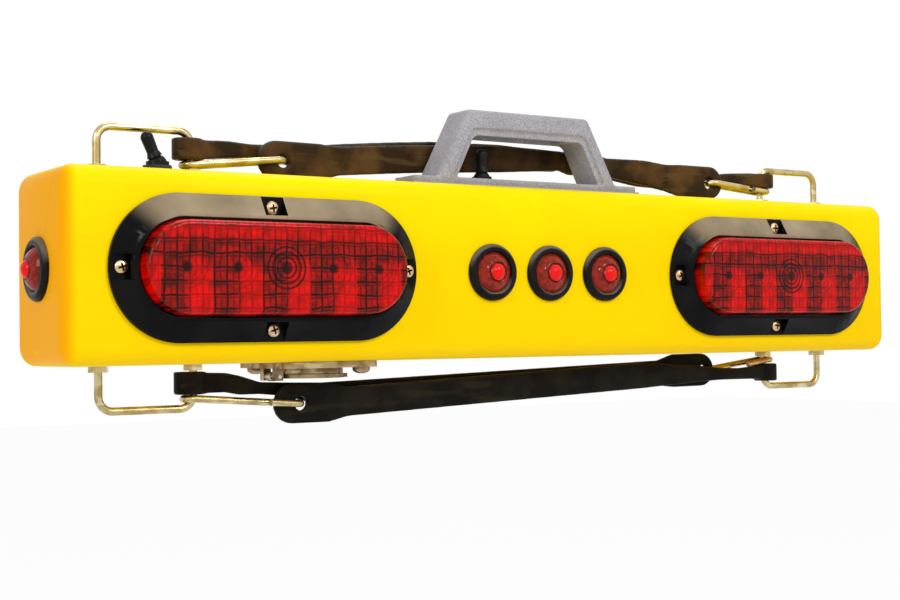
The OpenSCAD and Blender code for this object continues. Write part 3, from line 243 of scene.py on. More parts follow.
def makeSpeckleGroup():
    # hard little dots of two tones, as in speckled plastic
    group, start, end = newGroup(
        "speckle",
        [("Scale", "NodeSocketFloat", 700.0), ("Amount", "NodeSocketFloat", 0.25)],
        [("Dark", "NodeSocketFloat"), ("Light", "NodeSocketFloat")])
    coords = group.nodes.new("ShaderNodeTexCoord")
    cells = group.nodes.new("ShaderNodeTexVoronoi")
    split = group.nodes.new("ShaderNodeSeparateColor")
    dark = group.nodes.new("ShaderNodeMath")
    dark.operation = "LESS_THAN"
    flip = group.nodes.new("ShaderNodeMath")
    flip.operation = "SUBTRACT"
    flip.inputs[0].default_value = 1
    light = group.nodes.new("ShaderNodeMath")
    light.operation = "GREATER_THAN"
    links = group.links
    links.new(coords.outputs["Object"], cells.inputs["Vector"])
    links.new(start.outputs["Scale"], cells.inputs["Scale"])
    links.new(cells.outputs["Color"], split.inputs["Color"])
    links.new(split.outputs["Red"], dark.inputs[0])
    links.new(start.outputs["Amount"], dark.inputs[1])
    links.new(start.outputs["Amount"], flip.inputs[1])
    links.new(split.outputs["Green"], light.inputs[0])
    links.new(flip.outputs[0], light.inputs[1])
    links.new(dark.outputs[0], end.inputs["Dark"])
    links.new(light.outputs[0], end.inputs["Light"])
    return group


def makeDustAndSheenGroup():
    # lighter uneven tint on slopes that face upwards: a painted sheen of the light from above on the lamp flanges
    # and the grommets
    group, start, end = newGroup(
        "dustAndSheenFilm",
        [("Slope Low", "NodeSocketFloat", 0.10), ("Slope High", "NodeSocketFloat", 0.50),
         ("Scale", "NodeSocketFloat", 34.0), ("Least", "NodeSocketFloat", 0.30)],
        [("Mask", "NodeSocketFloat")])
    shape = group.nodes.new("ShaderNodeNewGeometry")
    split = group.nodes.new("ShaderNodeSeparateXYZ")
    coords = group.nodes.new("ShaderNodeTexCoord")
    uneven = group.nodes.new("ShaderNodeTexNoise")
    uneven.inputs["Detail"].default_value = 4
    slope = group.nodes.new("ShaderNodeMapRange")
    slope.interpolation_type = "SMOOTHSTEP"
    links = group.links
    links.new(shape.outputs["Normal"], split.inputs[0])
    links.new(coords.outputs["Object"], uneven.inputs["Vector"])
    links.new(start.outputs["Scale"], uneven.inputs["Scale"])
    links.new(split.outputs["Z"], slope.inputs["Value"])
    links.new(start.outputs["Slope Low"], slope.inputs["From Min"])
    links.new(start.outputs["Slope High"], slope.inputs["From Max"])
    share = mathNode(group, "MULTIPLY_ADD", uneven.outputs["Fac"], 0.9, start.outputs["Least"])
    film = mathNode(group, "MULTIPLY", slope.outputs["Result"], mathNode(group, "MINIMUM", share, 1.0))
    links.new(film, end.inputs["Mask"])
    return group


def makeBodyShadingGroup():
    # how far up the body a point is, from -1 to 1, and how near its ends; these place the painted light on top and
    # the painted shade low down and on the end faces
    group, start, end = newGroup(
        "bodyPaintedShading",
        [("Half Height", "NodeSocketFloat", 0.058), ("End Start", "NodeSocketFloat", 0.332),
         ("End Full", "NodeSocketFloat", 0.340)],
        [("Upper", "NodeSocketFloat"), ("Lower", "NodeSocketFloat"), ("End", "NodeSocketFloat")])
    coords = group.nodes.new("ShaderNodeTexCoord")
    split = group.nodes.new("ShaderNodeSeparateXYZ")
    links = group.links
    links.new(coords.outputs["Object"], split.inputs[0])
    up = mathNode(group, "DIVIDE", split.outputs["Z"], start.outputs["Half Height"])
    links.new(smoothStep(group, up, 0.0, 1.0), end.inputs["Upper"])
    links.new(smoothStep(group, up, 0.0, -1.0), end.inputs["Lower"])
    near = group.nodes.new("ShaderNodeMapRange")
    near.interpolation_type = "SMOOTHSTEP"
    links.new(mathNode(group, "ABSOLUTE", split.outputs["X"]), near.inputs["Value"])
    links.new(start.outputs["End Start"], near.inputs["From Min"])
    links.new(start.outputs["End Full"], near.inputs["From Max"])
    links.new(near.outputs["Result"], end.inputs["End"])
    return group


def makeOvalGroup():
    # 1 on the straight top of a lamp's oval, falling to 0 round its ends; it places the painted reflection on the
    # flange's top slope
    group, start, end = newGroup(
        "ovalTop",
        [("Middle X", "NodeSocketFloat", bodySizes["lampX"]),
         ("Middle Z", "NodeSocketFloat", bodySizes["lampZ"]),
         ("Straight", "NodeSocketFloat", bodySizes["lampHole"][0])],
        [("Mask", "NodeSocketFloat")])
    coords = group.nodes.new("ShaderNodeTexCoord")
    split = group.nodes.new("ShaderNodeSeparateXYZ")
    group.links.new(coords.outputs["Object"], split.inputs[0])
    side = mathNode(group, "ABSOLUTE", split.outputs["X"])
    across = mathNode(group, "ABSOLUTE", mathNode(group, "SUBTRACT", side, start.outputs["Middle X"]))
    past = mathNode(group, "MAXIMUM", mathNode(group, "SUBTRACT", across, start.outputs["Straight"]), 0.0)
    up = mathNode(group, "SUBTRACT", split.outputs["Z"], start.outputs["Middle Z"])
    squares = mathNode(group, "ADD", mathNode(group, "MULTIPLY", past, past),
                       mathNode(group, "MULTIPLY", up, up))
    lean = mathNode(group, "DIVIDE", up, mathNode(group, "SQRT", squares))
    group.links.new(smoothStep(group, lean, 0.66, 0.99), end.inputs["Mask"])
    return group


grainGroup = makeGrainGroup()
dustAndSheenGroup = makeDustAndSheenGroup()
bodyShadingGroup = makeBodyShadingGroup()
ovalGroup = makeOvalGroup()
scuffGroup = makeScuffGroup()
speckleGroup = makeSpeckleGroup()


def newMaterial(name, **sockets):
    material = bpy.data.materials.new(name)
    material.use_nodes = True
    shader = material.node_tree.nodes["Principled BSDF"]
    for label, value in sockets.items():
        shader.inputs[label.replace("_", " ")].default_value = value
    return material, material.node_tree, shader


def placeGroup(tree, group, **values):
    node = tree.nodes.new("ShaderNodeGroup")
    node.node_tree = group
    for label, value in values.items():
        node.inputs[label.replace("_", " ")].default_value = value
    return node


def addBump(tree, shader, height, strength, distance):
    bump = tree.nodes.new("ShaderNodeBump")
    bump.inputs["Strength"].default_value = strength
    bump.inputs["Distance"].default_value = distance
    tree.links.new(height, bump.inputs["Height"])
    tree.links.new(bump.outputs["Normal"], shader.inputs["Normal"])
    return bump


# Materials

# Body colours are painted light and shade: high is the lit top, middle and low run deeper orange downwards as
# painted shade, end is the painted shade of the end faces
bodyLook = {
    "high": (1.0, 0.81, 0.0),
    "middle": (1.0, 0.70, 0.0),
    "low": (1.0, 0.66, 0.0),
    "end": (1.0, 0.43, 0.0),
    "roughness": (0.36, 0.46),
    "seamPlace": (-0.0467, -0.436),
    "seamHalfWidth": 0.0004,
}


def seamFactor(tree):
    # 1 on the thin mould line that runs down the left end of the body
    coords = tree.nodes.new("ShaderNodeTexCoord")
    split = tree.nodes.new("ShaderNodeSeparateXYZ")
    tree.links.new(coords.outputs["Object"], split.inputs[0])
    start, slope = bodyLook["seamPlace"]
    line = mathNode(tree, "MULTIPLY_ADD", split.outputs["Z"], slope, start)
    off = mathNode(tree, "ABSOLUTE", mathNode(tree, "SUBTRACT", split.outputs["Y"], line))
    on = mathNode(tree, "LESS_THAN", off, bodyLook["seamHalfWidth"])
    atEnd = mathNode(tree, "LESS_THAN", split.outputs["X"], -bodySizes["length"] / 2 + 6 * mm)
    above = mathNode(tree, "GREATER_THAN", split.outputs["Z"], 16 * mm)
    return mathNode(tree, "MULTIPLY", on, mathNode(tree, "MULTIPLY", atEnd, above))


def makeBodyYellow(name="bodyYellow", grainScale=620, strength=0.09):
    material, tree, shader = newMaterial(name, Specular_IOR_Level=0.04)
    grain = placeGroup(tree, grainGroup, Grain_Scale=grainScale, Tone_Scale=14)
    scuff = placeGroup(tree, scuffGroup, Scale=90, Stretch=6, Threshold=0.66)
    tone = placeGroup(tree, bodyShadingGroup)
    # painted light and shade: yellower towards the lit top, more orange low down and on the shaded ends
    lower = mixColours(tree, tone.outputs["Lower"], bodyLook["middle"], bodyLook["low"])
    base = mixColours(tree, tone.outputs["Upper"], lower, bodyLook["high"])
    sided = mixColours(tree, tone.outputs["End"], base, bodyLook["end"])
    toned = mixColours(tree, mixValues(tree, grain.outputs["Tone"], 0, 0.10), sided, bodyLook["end"])
    worn = mixColours(tree, scuff.outputs["Mask"], toned, (0.95, 0.58, 0.0))
    lined = mixColours(tree, mathNode(tree, "MULTIPLY", seamFactor(tree), 0.55), worn, (0.80, 0.32, 0.0))
    tree.links.new(lined, shader.inputs["Base Color"])
    tree.links.new(mixValues(tree, grain.outputs["Tone"], *bodyLook["roughness"]), shader.inputs["Roughness"])
    addBump(tree, shader, grain.outputs["Height"], strength, 0.0004)
    return material


def makeMoulded(name, colour, deep, roughness, grainScale=800, strength=0.08, scuffColour=None, specular=0.12,
               dustAndSheenColour=None, onOval=False):
    material, tree, shader = newMaterial(name, Specular_IOR_Level=specular)
    grain = placeGroup(tree, grainGroup, Grain_Scale=grainScale, Tone_Scale=40)
    base = mixColours(tree, grain.outputs["Tone"], colour, deep)
    if scuffColour:
        scuff = placeGroup(tree, scuffGroup, Scale=120, Stretch=8, Threshold=0.6)
        base = mixColours(tree, scuff.outputs["Mask"], base, scuffColour)
    # a lighter tint on upward slopes; on the flanges and grommets it is painted sheen of the light from above
    if dustAndSheenColour:
        film = placeGroup(tree, dustAndSheenGroup)
        mask = film.outputs["Mask"]
        if onOval:
            film.inputs["Slope Low"].default_value = 0.03
            film.inputs["Slope High"].default_value = 0.12
            mask = mathNode(tree, "MULTIPLY", mask, placeGroup(tree, ovalGroup).outputs["Mask"])
        base = mixColours(tree, mask, base, dustAndSheenColour)
    tree.links.new(base, shader.inputs["Base Color"])
    tree.links.new(mixValues(tree, grain.outputs["Tone"], *roughness), shader.inputs["Roughness"])
    addBump(tree, shader, grain.outputs["Height"], strength, 0.0003)
    return material


def makeMetal(name, colour, deep, roughness, scuffColour):
    material, tree, shader = newMaterial(name, Metallic=1.0)
    grain = placeGroup(tree, grainGroup, Grain_Scale=1400, Tone_Scale=90)
    scuff = placeGroup(tree, scuffGroup, Scale=240, Stretch=5, Threshold=0.56)
    base = mixColours(tree, grain.outputs["Tone"], colour, deep)
    worn = mixColours(tree, scuff.outputs["Mask"], base, scuffColour)
    tree.links.new(worn, shader.inputs["Base Color"])
    tree.links.new(mixValues(tree, grain.outputs["Tone"], *roughness), shader.inputs["Roughness"])
    addBump(tree, shader, grain.outputs["Height"], 0.12, 0.0002)
    return material


handleLook = {
    "base": ((0.3337, 0.3152, 0.3479), (0.3834, 0.3635, 0.3948)),
    "dark": (0.2343, 0.2187, 0.2442),
    "light": (0.4828, 0.4572, 0.4942),
    "speckScale": 1900,
}


def makeHandleGrey():
    material, tree, shader = newMaterial("handleGrey", Specular_IOR_Level=0.3)
    speck = placeGroup(tree, speckleGroup, Scale=handleLook["speckScale"], Amount=0.14)
    grain = placeGroup(tree, grainGroup, Grain_Scale=1100, Tone_Scale=30)
    base = mixColours(tree, grain.outputs["Tone"], *handleLook["base"])
    dark = mixColours(tree, speck.outputs["Dark"], base, handleLook["dark"])
    light = mixColours(tree, speck.outputs["Light"], dark, handleLook["light"])
    tree.links.new(light, shader.inputs["Base Color"])
    tree.links.new(mixValues(tree, grain.outputs["Tone"], 0.5, 0.62), shader.inputs["Roughness"])
    addBump(tree, shader, grain.outputs["Height"], 0.2, 0.0003)
    return material


# lens colours: bright is painted light inside the lamp, middle the red between, dark the prism lines and lamp
# circles
lensLook = {
    "bright": (0.95, 0.002, 0.0),
    "middle": (0.20, 0.005, 0.001),
    "dark": (0.012, 0.001, 0.001),
    "prismWidth": 3.9 * mm,
    "prismHeight": 8.0 * mm,
    "ledPitch": 32 * mm,
    "circlePitch": 3.1 * mm,
    "core": (4.2 * mm, 1.8 * mm),
    "wobble": 5 * mm,
    "barShift": 1.9 * mm,
    "ledRadius": 13.5 * mm,
}


def stripes(tree, place, pitch, share, soft):
    # 1 on lines that repeat with a pitch, 0 between them
    phase = mathNode(tree, "PINGPONG", place, pitch / 2)
    ramp = tree.nodes.new("ShaderNodeMapRange")
    ramp.interpolation_type = "SMOOTHSTEP"
    tree.links.new(phase, ramp.inputs["Value"])
    ramp.inputs["From Min"].default_value = pitch / 2 * share
    ramp.inputs["From Max"].default_value = pitch / 2 * (share + soft)
    ramp.inputs["To Min"].default_value = 1
    ramp.inputs["To Max"].default_value = 0
    return ramp.outputs["Result"]


def makePrismGroup():
    # the prisms and lamp circles that show through an oval lens, with painted patches of light inside the lamp
    group, start, end = newGroup(
        "lensPrisms",
        [("Middle X", "NodeSocketFloat", 0.212), ("Middle Z", "NodeSocketFloat", -0.0013)],
        [("Patches", "NodeSocketFloat"), ("Lines", "NodeSocketFloat"), ("Rings", "NodeSocketFloat")])
    coords = group.nodes.new("ShaderNodeTexCoord")
    split = group.nodes.new("ShaderNodeSeparateXYZ")
    group.links.new(coords.outputs["Object"], split.inputs[0])
    side = mathNode(group, "SIGN", split.outputs["X"])
    out = mathNode(group, "MULTIPLY", side, start.outputs["Middle X"])
    across = mathNode(group, "SUBTRACT", split.outputs["X"], out)
    up = mathNode(group, "SUBTRACT", split.outputs["Z"], start.outputs["Middle Z"])
    wobble = group.nodes.new("ShaderNodeTexNoise")
    wobble.inputs["Scale"].default_value = 70
    group.links.new(coords.outputs["Object"], wobble.inputs["Vector"])
    shift = mathNode(group, "MULTIPLY_ADD", wobble.outputs["Fac"], lensLook["wobble"], -lensLook["wobble"] / 2)
    bentAcross = mathNode(group, "ADD", across, mathNode(group, "MULTIPLY", shift, 0.38))
    bentUp = mathNode(group, "ADD", up, mathNode(group, "MULTIPLY", shift, 0.75))
    width, height, pitch = lensLook["prismWidth"], lensLook["prismHeight"], lensLook["ledPitch"]
    thin = stripes(group, bentAcross, width, 0.14, 0.30)
    wide = stripes(group, bentAcross, 2 * width, 0.10, 0.14)
    level = stripes(group, mathNode(group, "ADD", bentUp, lensLook["barShift"]), height, 0.05, 0.14)
    strong = stripes(group, bentUp, height, 0.10, 0.14)
    cell = group.nodes.new("ShaderNodeCombineXYZ")
    for label, place, step in (("X", bentAcross, width), ("Z", bentUp, height / 2)):
        group.links.new(mathNode(group, "FLOOR", mathNode(group, "DIVIDE", place, step)), cell.inputs[label])
    noise = group.nodes.new("ShaderNodeTexWhiteNoise")
    group.links.new(cell.outputs[0], noise.inputs["Vector"])
    patches = group.nodes.new("ShaderNodeTexNoise")
    patches.inputs["Scale"].default_value = 150
    patches.inputs["Detail"].default_value = 2
    group.links.new(coords.outputs["Object"], patches.inputs["Vector"])
    turns = mathNode(group, "DIVIDE", across, pitch)
    part = mathNode(group, "SUBTRACT", turns, mathNode(group, "ROUND", turns))
    # painted light: the right and lower half of each lamp cell and a band along the top are lit
    rightHalf = smoothStep(group, part, -0.10, 0.14)
    lowerHalf = smoothStep(group, up, 8 * mm, -3 * mm)
    topBand = mathNode(group, "MULTIPLY", smoothStep(group, up, 13 * mm, 20 * mm), 0.75)
    paintedLight = mathNode(group, "MAXIMUM", mathNode(group, "MULTIPLY", rightHalf, lowerHalf), topBand)
    uneven = mathNode(group, "MULTIPLY_ADD", noise.outputs["Value"], 0.34, mathNode(
        group, "MULTIPLY_ADD", patches.outputs["Fac"], 1.3, -0.60))
    tone = mathNode(group, "MULTIPLY_ADD", paintedLight, 0.62, uneven)
    fade = mathNode(group, "MULTIPLY_ADD", paintedLight, -0.55, 1.0)
    lines = mathNode(group, "MAXIMUM", mathNode(group, "MULTIPLY", thin, 0.5),
                     mathNode(group, "MULTIPLY", wide, 0.9))
    bars = mathNode(group, "MAXIMUM", mathNode(group, "MULTIPLY", level, 0.6),
                    mathNode(group, "MULTIPLY", strong, 0.9))
    folded = mathNode(group, "MULTIPLY", part, pitch)
    radius = mathNode(group, "SQRT", mathNode(
        group, "ADD", mathNode(group, "POWER", mathNode(group, "ABSOLUTE", folded), 2.0),
        mathNode(group, "POWER", mathNode(group, "ABSOLUTE", up), 2.0)))
    atMiddle = mathNode(group, "LESS_THAN", mathNode(group, "ABSOLUTE", across), pitch / 2)
    weight = mathNode(group, "MULTIPLY_ADD", atMiddle, 0.95, 0.40)
    circles = mathNode(group, "MULTIPLY", stripes(group, radius, lensLook["circlePitch"], 0.20, 0.45), weight)
    inside = mathNode(group, "LESS_THAN", radius, lensLook["ledRadius"])
    core = smoothStep(group, radius, *lensLook["core"])
    rings = mathNode(group, "MULTIPLY", mathNode(group, "MAXIMUM", mathNode(
        group, "MULTIPLY", circles, 0.62), mathNode(group, "MULTIPLY", core, 0.9)), inside)
    group.links.new(mathNode(group, "MINIMUM", mathNode(group, "MAXIMUM", tone, 0.0), 1.0), end.inputs["Patches"])
    group.links.new(mathNode(group, "MULTIPLY", mathNode(group, "MAXIMUM", lines, bars), fade), end.inputs["Lines"])
    group.links.new(rings, end.inputs["Rings"])
    return group


markerLook = {
    "bright": (1.0, 0.002, 0.001),
    "ring": (0.030, 0.003, 0.001),
    "outer": ((0.40, 0.020, 0.006), (0.18, 0.014, 0.004)),
    "innerRadius": 5.6,
    "ringRadius": 6.8,
}


def makeMarkerRed():
    material, tree, shader = newMaterial(
        "markerRed", Transmission_Weight=0.2, IOR=1.46, Specular_IOR_Level=0.15)
    grain = placeGroup(tree, grainGroup, Grain_Scale=500, Tone_Scale=320)
    radius = tree.nodes.new("ShaderNodeAttribute")
    radius.attribute_name = "radiusMm"
    look = markerLook
    outer = mixColours(tree, grain.outputs["Tone"], *look["outer"])
    far = smoothStep(tree, radius.outputs["Fac"], look["ringRadius"] - 0.5, look["ringRadius"] + 0.5)
    near = smoothStep(tree, radius.outputs["Fac"], look["innerRadius"] + 0.4, look["innerRadius"] - 0.4)
    ringed = mixColours(tree, far, look["ring"], outer)
    tree.links.new(mixColours(tree, near, ringed, look["bright"]), shader.inputs["Base Color"])
    tree.links.new(mixValues(tree, grain.outputs["Tone"], 0.05, 0.10), shader.inputs["Roughness"])
    return material


def makeLensRed():
    material, tree, shader = newMaterial(
        "lensRed", Transmission_Weight=0.22, IOR=1.46, Specular_IOR_Level=0.08)
    grain = placeGroup(tree, grainGroup, Grain_Scale=300, Tone_Scale=60)
    cells = placeGroup(tree, makePrismGroup())
    # the patches mix in the bright red as painted light inside the lamp
    patched = mixColours(tree, cells.outputs["Patches"], lensLook["middle"], lensLook["bright"])
    lined = mixColours(tree, cells.outputs["Lines"], patched, lensLook["dark"])
    ringed = mixColours(tree, cells.outputs["Rings"], lined, lensLook["dark"])
    tree.links.new(ringed, shader.inputs["Base Color"])
    tree.links.new(mixValues(tree, grain.outputs["Tone"], 0.04, 0.08), shader.inputs["Roughness"])
    addBump(tree, shader, mathNode(tree, "MULTIPLY", cells.outputs["Lines"], -1.0), 0.10, 0.0004)
    return material


bodyYellow = makeBodyYellow()
coverYellow = makeBodyYellow("coverYellow", 420, 0.2)
# the lighter tint on the top slope of each lamp flange is a painted reflection of the light from above
flangeBlack = makeMoulded(
    "flangeBlack", colour=(0.0035, 0.0035, 0.0043), deep=(0.0071, 0.0064, 0.0064),
    roughness=(0.14, 0.22), grainScale=900, strength=0.04, specular=0.06,
    dustAndSheenColour=(0.426, 0.3337, 0.2059), onOval=True)
# the lighter tint on the grommets' upper faces is a painted highlight
grommetBlack = makeMoulded(
    "grommetBlack", colour=(0.0057, 0.0043, 0.0043), deep=(0.0114, 0.0085, 0.0085),
    roughness=(0.24, 0.34), grainScale=900, strength=0.08, specular=0.09,
    dustAndSheenColour=(0.1704, 0.1491, 0.1207))
strapRubber = makeMoulded(
    "strapRubber", colour=(0.0071, 0.0057, 0.0043), deep=(0.0156, 0.0128, 0.0085),
    roughness=(0.40, 0.56), grainScale=700, strength=0.16, scuffColour=(0.0312, 0.0227, 0.0114),
    specular=0.05, dustAndSheenColour=(0.0341, 0.0256, 0.0128))
topRubber = makeMoulded(
    "topRubber", colour=(0.0312, 0.017, 0.0057), deep=(0.0994, 0.0483, 0.0142), roughness=(0.36, 0.50),
    grainScale=700, strength=0.16, scuffColour=(0.1207, 0.0781, 0.0341), specular=0.06,
    dustAndSheenColour=(0.0568, 0.0625, 0.0511))
bootRubber = makeMoulded(
    "bootRubber", colour=(0.0043, 0.0043, 0.0043), deep=(0.0085, 0.0085, 0.0071),
    roughness=(0.28, 0.40), grainScale=900, strength=0.1, specular=0.14)
darkPlastic = makeMoulded(
    "darkPlastic", colour=(0.0355, 0.0355, 0.0383), deep=(0.0497, 0.0483, 0.0483), roughness=(0.4, 0.5))
gasketFoam = makeMoulded(
    "gasketFoam", colour=(0.0426, 0.0426, 0.0426), deep=(0.071, 0.071, 0.071), roughness=(0.8, 0.9),
    grainScale=500, strength=0.4)
reflectorRed = makeMoulded(
    "reflectorRed", colour=(1, 0.142, 0.0994), deep=(0.994, 0.0852, 0.0568), roughness=(0.25, 0.4))
boardGreen = makeMoulded(
    "boardGreen", colour=(0.0284, 0.2272, 0.0852), deep=(0.0426, 0.3124, 0.1136), roughness=(0.3, 0.4))
packBlue = makeMoulded(
    "packBlue", colour=(0.071, 0.2272, 0.5964), deep=(0.0994, 0.284, 0.71), roughness=(0.25, 0.35))
zincYellow = makeMetal(
    "zincYellow", colour=(0.60, 0.49, 0.26), deep=(0.40, 0.30, 0.12), roughness=(0.22, 0.38),
    scuffColour=(0.84, 0.76, 0.52))
zincCopper = makeMetal(
    "zincCopper", colour=(0.56, 0.36, 0.16), deep=(0.38, 0.20, 0.07), roughness=(0.22, 0.38),
    scuffColour=(0.84, 0.70, 0.48))
steelBright = makeMetal(
    "steelBright", colour=(0.70, 0.69, 0.67), deep=(0.58, 0.57, 0.55), roughness=(0.25, 0.40),
    scuffColour=(0.85, 0.84, 0.82))
screwBrass = makeMetal(
    "screwBrass", colour=(0.74, 0.50, 0.27), deep=(0.52, 0.31, 0.15), roughness=(0.22, 0.36),
    scuffColour=(0.92, 0.76, 0.54))
castZinc = makeMetal(
    "castZinc", colour=(0.40, 0.29, 0.15), deep=(0.24, 0.16, 0.08), roughness=(0.38, 0.55),
    scuffColour=(0.62, 0.50, 0.30))
handleGrey = makeHandleGrey()
# painted shade for the faces inside the screw recesses
recessShade = makeMoulded(
    "recessShade", colour=(0.0284, 0.017, 0.0114), deep=(0.0497, 0.0312, 0.0213), roughness=(0.5, 0.7))
lensRed = makeLensRed()
markerRed = makeMarkerRed()
print("stage 2: materials made")


# Body: a rounded box with its rear pocket and the lamp openings

def ovalOutline(straight, radius, segments=40):
    points = []
    for side, start in ((1, -90), (-1, 90)):
        for i in range(segments + 1):
            a = math.radians(start + 180 * i / segments)
            points.append((side * straight + radius * math.cos(a), radius * math.sin(a)))
    return points


def roundedOutline(width, height, radius, segments=8):
    points = []
    for k, (sx, sz) in enumerate(((1, -1), (1, 1), (-1, 1), (-1, -1))):
        for i in range(segments + 1):
            a = math.radians(-90 + 90 * k + 90 * i / segments)
            points.append((sx * (width / 2 - radius) + radius * math.cos(a),
                           sz * (height / 2 - radius) + radius * math.sin(a)))
    return points


def prism(name, outline, yFront, yBack, centre=(0, 0)):
    bm = bmesh.new()
    rings = [[bm.verts.new((centre[0] + x, y, centre[1] + z)) for x, z in outline] for y in (yFront, yBack)]
    count = len(outline)
    for i in range(count):
        j = (i + 1) % count
        bm.faces.new((rings[0][i], rings[0][j], rings[1][j], rings[1][i]))
    bm.faces.new(rings[0][::-1])
    bm.faces.new(rings[1])
    bmesh.ops.recalc_face_normals(bm, faces=bm.faces)
    return meshFromBmesh(name, bm)


def cutWith(obj, cutters):
    for cutter in cutters:
        mod = obj.modifiers.new("cut", "BOOLEAN")
        mod.operation = "DIFFERENCE"
        mod.solver = "EXACT"
        mod.object = cutter
    bakeModifiers(obj)
    for cutter in cutters:
        bpy.data.objects.remove(cutter)


def squeezeEnds(obj):
    # shortens the rounding along the bar at both ends
    s = bodySizes
    flat = s["length"] / 2 - s["edge"]
    squeeze = s["endReach"] / s["edge"]
    for v in obj.data.vertices:
        out = abs(v.co.x) - flat
        if out > -0.01 * mm:
            x = s["length"] / 2 - s["endReach"] + max(out, 0) * squeeze
            v.co.x = math.copysign(x, v.co.x)


def makeBody():
    s = bodySizes
    bm = bmesh.new()
    bmesh.ops.create_cube(bm, size=1)
    for v in bm.verts:
        v.co = Vector((v.co.x * s["length"], (v.co.y - 0.5) * s["depth"], v.co.z * s["height"]))
    obj = meshFromBmesh("moulded_body", bm)
    bevel = obj.modifiers.new("edges", "BEVEL")
    bevel.width = s["edge"]
    bevel.segments = 12
    bevel.limit_method = "NONE"
    bakeModifiers(obj)
    squeezeEnds(obj)
    width, height, radius = s["pocket"]
    cutters = [prism("pocketCutter", roundedOutline(width, height, radius), -s["pocketDepth"], 5 * mm)]
    for side in (-1, 1):
        cutters.append(prism("lampCutter", ovalOutline(*s["lampHole"]), -s["depth"] - 5 * mm,
                             -s["depth"] + 40 * mm, (side * s["lampX"], s["lampZ"])))
    cutWith(obj, cutters)
    smoothByAngle(obj)
    return dress(obj, bodyYellow, boardBody, "body_shell")


makeBody()
print("stage 3: body made")


# Rubber straps and the handle: the solids, remeshed and softened

softening = {
    "strap": {"voxel": 1.0 * mm, "rounds": 6},
    "handle": {"voxel": 0.8 * mm, "rounds": 3},
}


def softened(node, name, voxel, rounds):
    obj = mergedCopy(node, name)
    remesh = obj.modifiers.new("remesh", "REMESH")
    remesh.mode = "VOXEL"
    remesh.voxel_size = voxel
    smooth = obj.modifiers.new("soften", "SMOOTH")
    smooth.factor = 0.5
    smooth.iterations = rounds
    bakeModifiers(obj)
    for face in obj.data.polygons:
        face.use_smooth = True
    return obj


for node in ("top_front_strap", "top_rear_strap", "bottom_front_strap", "bottom_rear_strap"):
    strap = softened(node, node.replace("strap", "rubber"), **softening["strap"])
    dress(strap, topRubber if node.startswith("top") else strapRubber, boardBody, node)
dress(softened("handle_grip", "carry_handle", **softening["handle"]), handleGrey, boardBody, "handle_grip")
print("stage 4: straps and handle made")


# Hard pieces: smooth copies of the solids with their finishes

finishes = {
    "rear_cover": coverYellow, "cover_gasket": gasketFoam,
    "left_lamp_flange": flangeBlack, "right_lamp_flange": flangeBlack,
    "left_lamp_lens": lensRed, "right_lamp_lens": lensRed,
    "left_lamp_tub": darkPlastic, "right_lamp_tub": darkPlastic,
    "left_led_board": reflectorRed, "right_led_board": reflectorRed,
    "handle_pad": handleGrey, "handle_screws": steelBright,
    "power_switch": darkPlastic, "mode_switch": darkPlastic, "power_switch_nut": darkPlastic,
    "power_boot": bootRubber, "mode_boot": bootRubber, "power_lever": bootRubber, "mode_lever": bootRubber,
    "bail_outer_nuts": zincYellow, "bail_inner_nuts": zincYellow,
    "socket_shell": castZinc, "socket_insert": darkPlastic, "socket_contacts": screwBrass,
    "socket_screws": castZinc, "socket_lid": castZinc, "lid_pin": steelBright, "lid_spring": steelBright,
    "battery_pack": packBlue, "battery_bracket": darkPlastic, "receiver_board": boardGreen,
    "board_screws": steelBright,
}
for place in ("left_id", "centre_id", "right_id", "left_end", "right_end"):
    finishes[place + "_grommet"] = grommetBlack
    finishes[place + "_lamp"] = markerRed
for place in ("top_left", "top_right", "bottom_left", "bottom_right"):
    finishes[place + "_bail"] = zincYellow
    finishes[place + "_hook"] = zincCopper if place == "bottom_right" else zincYellow
bodyOfNode = {"power_lever": "power_lever", "mode_lever": "mode_lever"}


def addRadii(obj):
    # each point's distance from the lamp's own axis, in millimetres, for the marker material
    points = [v.co for v in obj.data.vertices]
    low, high = ([pick(p[i] for p in points) for i in range(3)] for pick in (min, max))
    middle = [(a + b) / 2 for a, b in zip(low, high)]
    along = 0 if "_end_" in obj.name else 1
    across = [i for i in range(3) if i != along]
    values = [math.hypot(*(p[i] - middle[i] for i in across)) / mm for p in points]
    layer = obj.data.attributes.new("radiusMm", "FLOAT", "POINT")
    layer.data.foreach_set("value", values)


def looseParts(mesh):
    # lists of face numbers, one for each loose part
    parent = list(range(len(mesh.vertices)))

    def root(i):
        while parent[i] != i:
            parent[i] = parent[parent[i]]
            i = parent[i]
        return i

    for edge in mesh.edges:
        a, b = (root(i) for i in edge.vertices)
        parent[a] = b
    parts = {}
    for face in mesh.polygons:
        parts.setdefault(root(face.vertices[0]), []).append(face.index)
    return list(parts.values())


for node, material in finishes.items():
    piece = mergedCopy(node, node + "_finished")
    smoothByAngle(piece)
    dress(piece, material, bodyOfNode.get(node, boardBody), node)
    if material is markerRed:
        addRadii(piece)
print("stage 5: hard pieces made")


# Screws: one Geometry Nodes tree puts a cross-recessed screw on every place that the solids give

flangeScrew = {"head": 8.6 * mm, "height": 2.6 * mm, "shank": 4.2 * mm, "length": 14 * mm,
               "facing": -1, "metal": screwBrass}
screwSets = {
    "left_flange_screws": {**flangeScrew, "seed": 3},
    "right_flange_screws": {**flangeScrew, "seed": 8},
    "cover_screws": {"head": 7 * mm, "height": 2.2 * mm, "shank": 3.5 * mm, "length": 12 * mm,
                     "facing": 1, "seed": 5, "metal": steelBright},
}
screwShape = {
    "segments": 32,
    "rings": 16,
    "rimShare": 0.3,
    "recessLength": 0.6,
    "recessWidth": 0.15,
    "recessFloor": 0.45,
    "spin": 0.4,
}


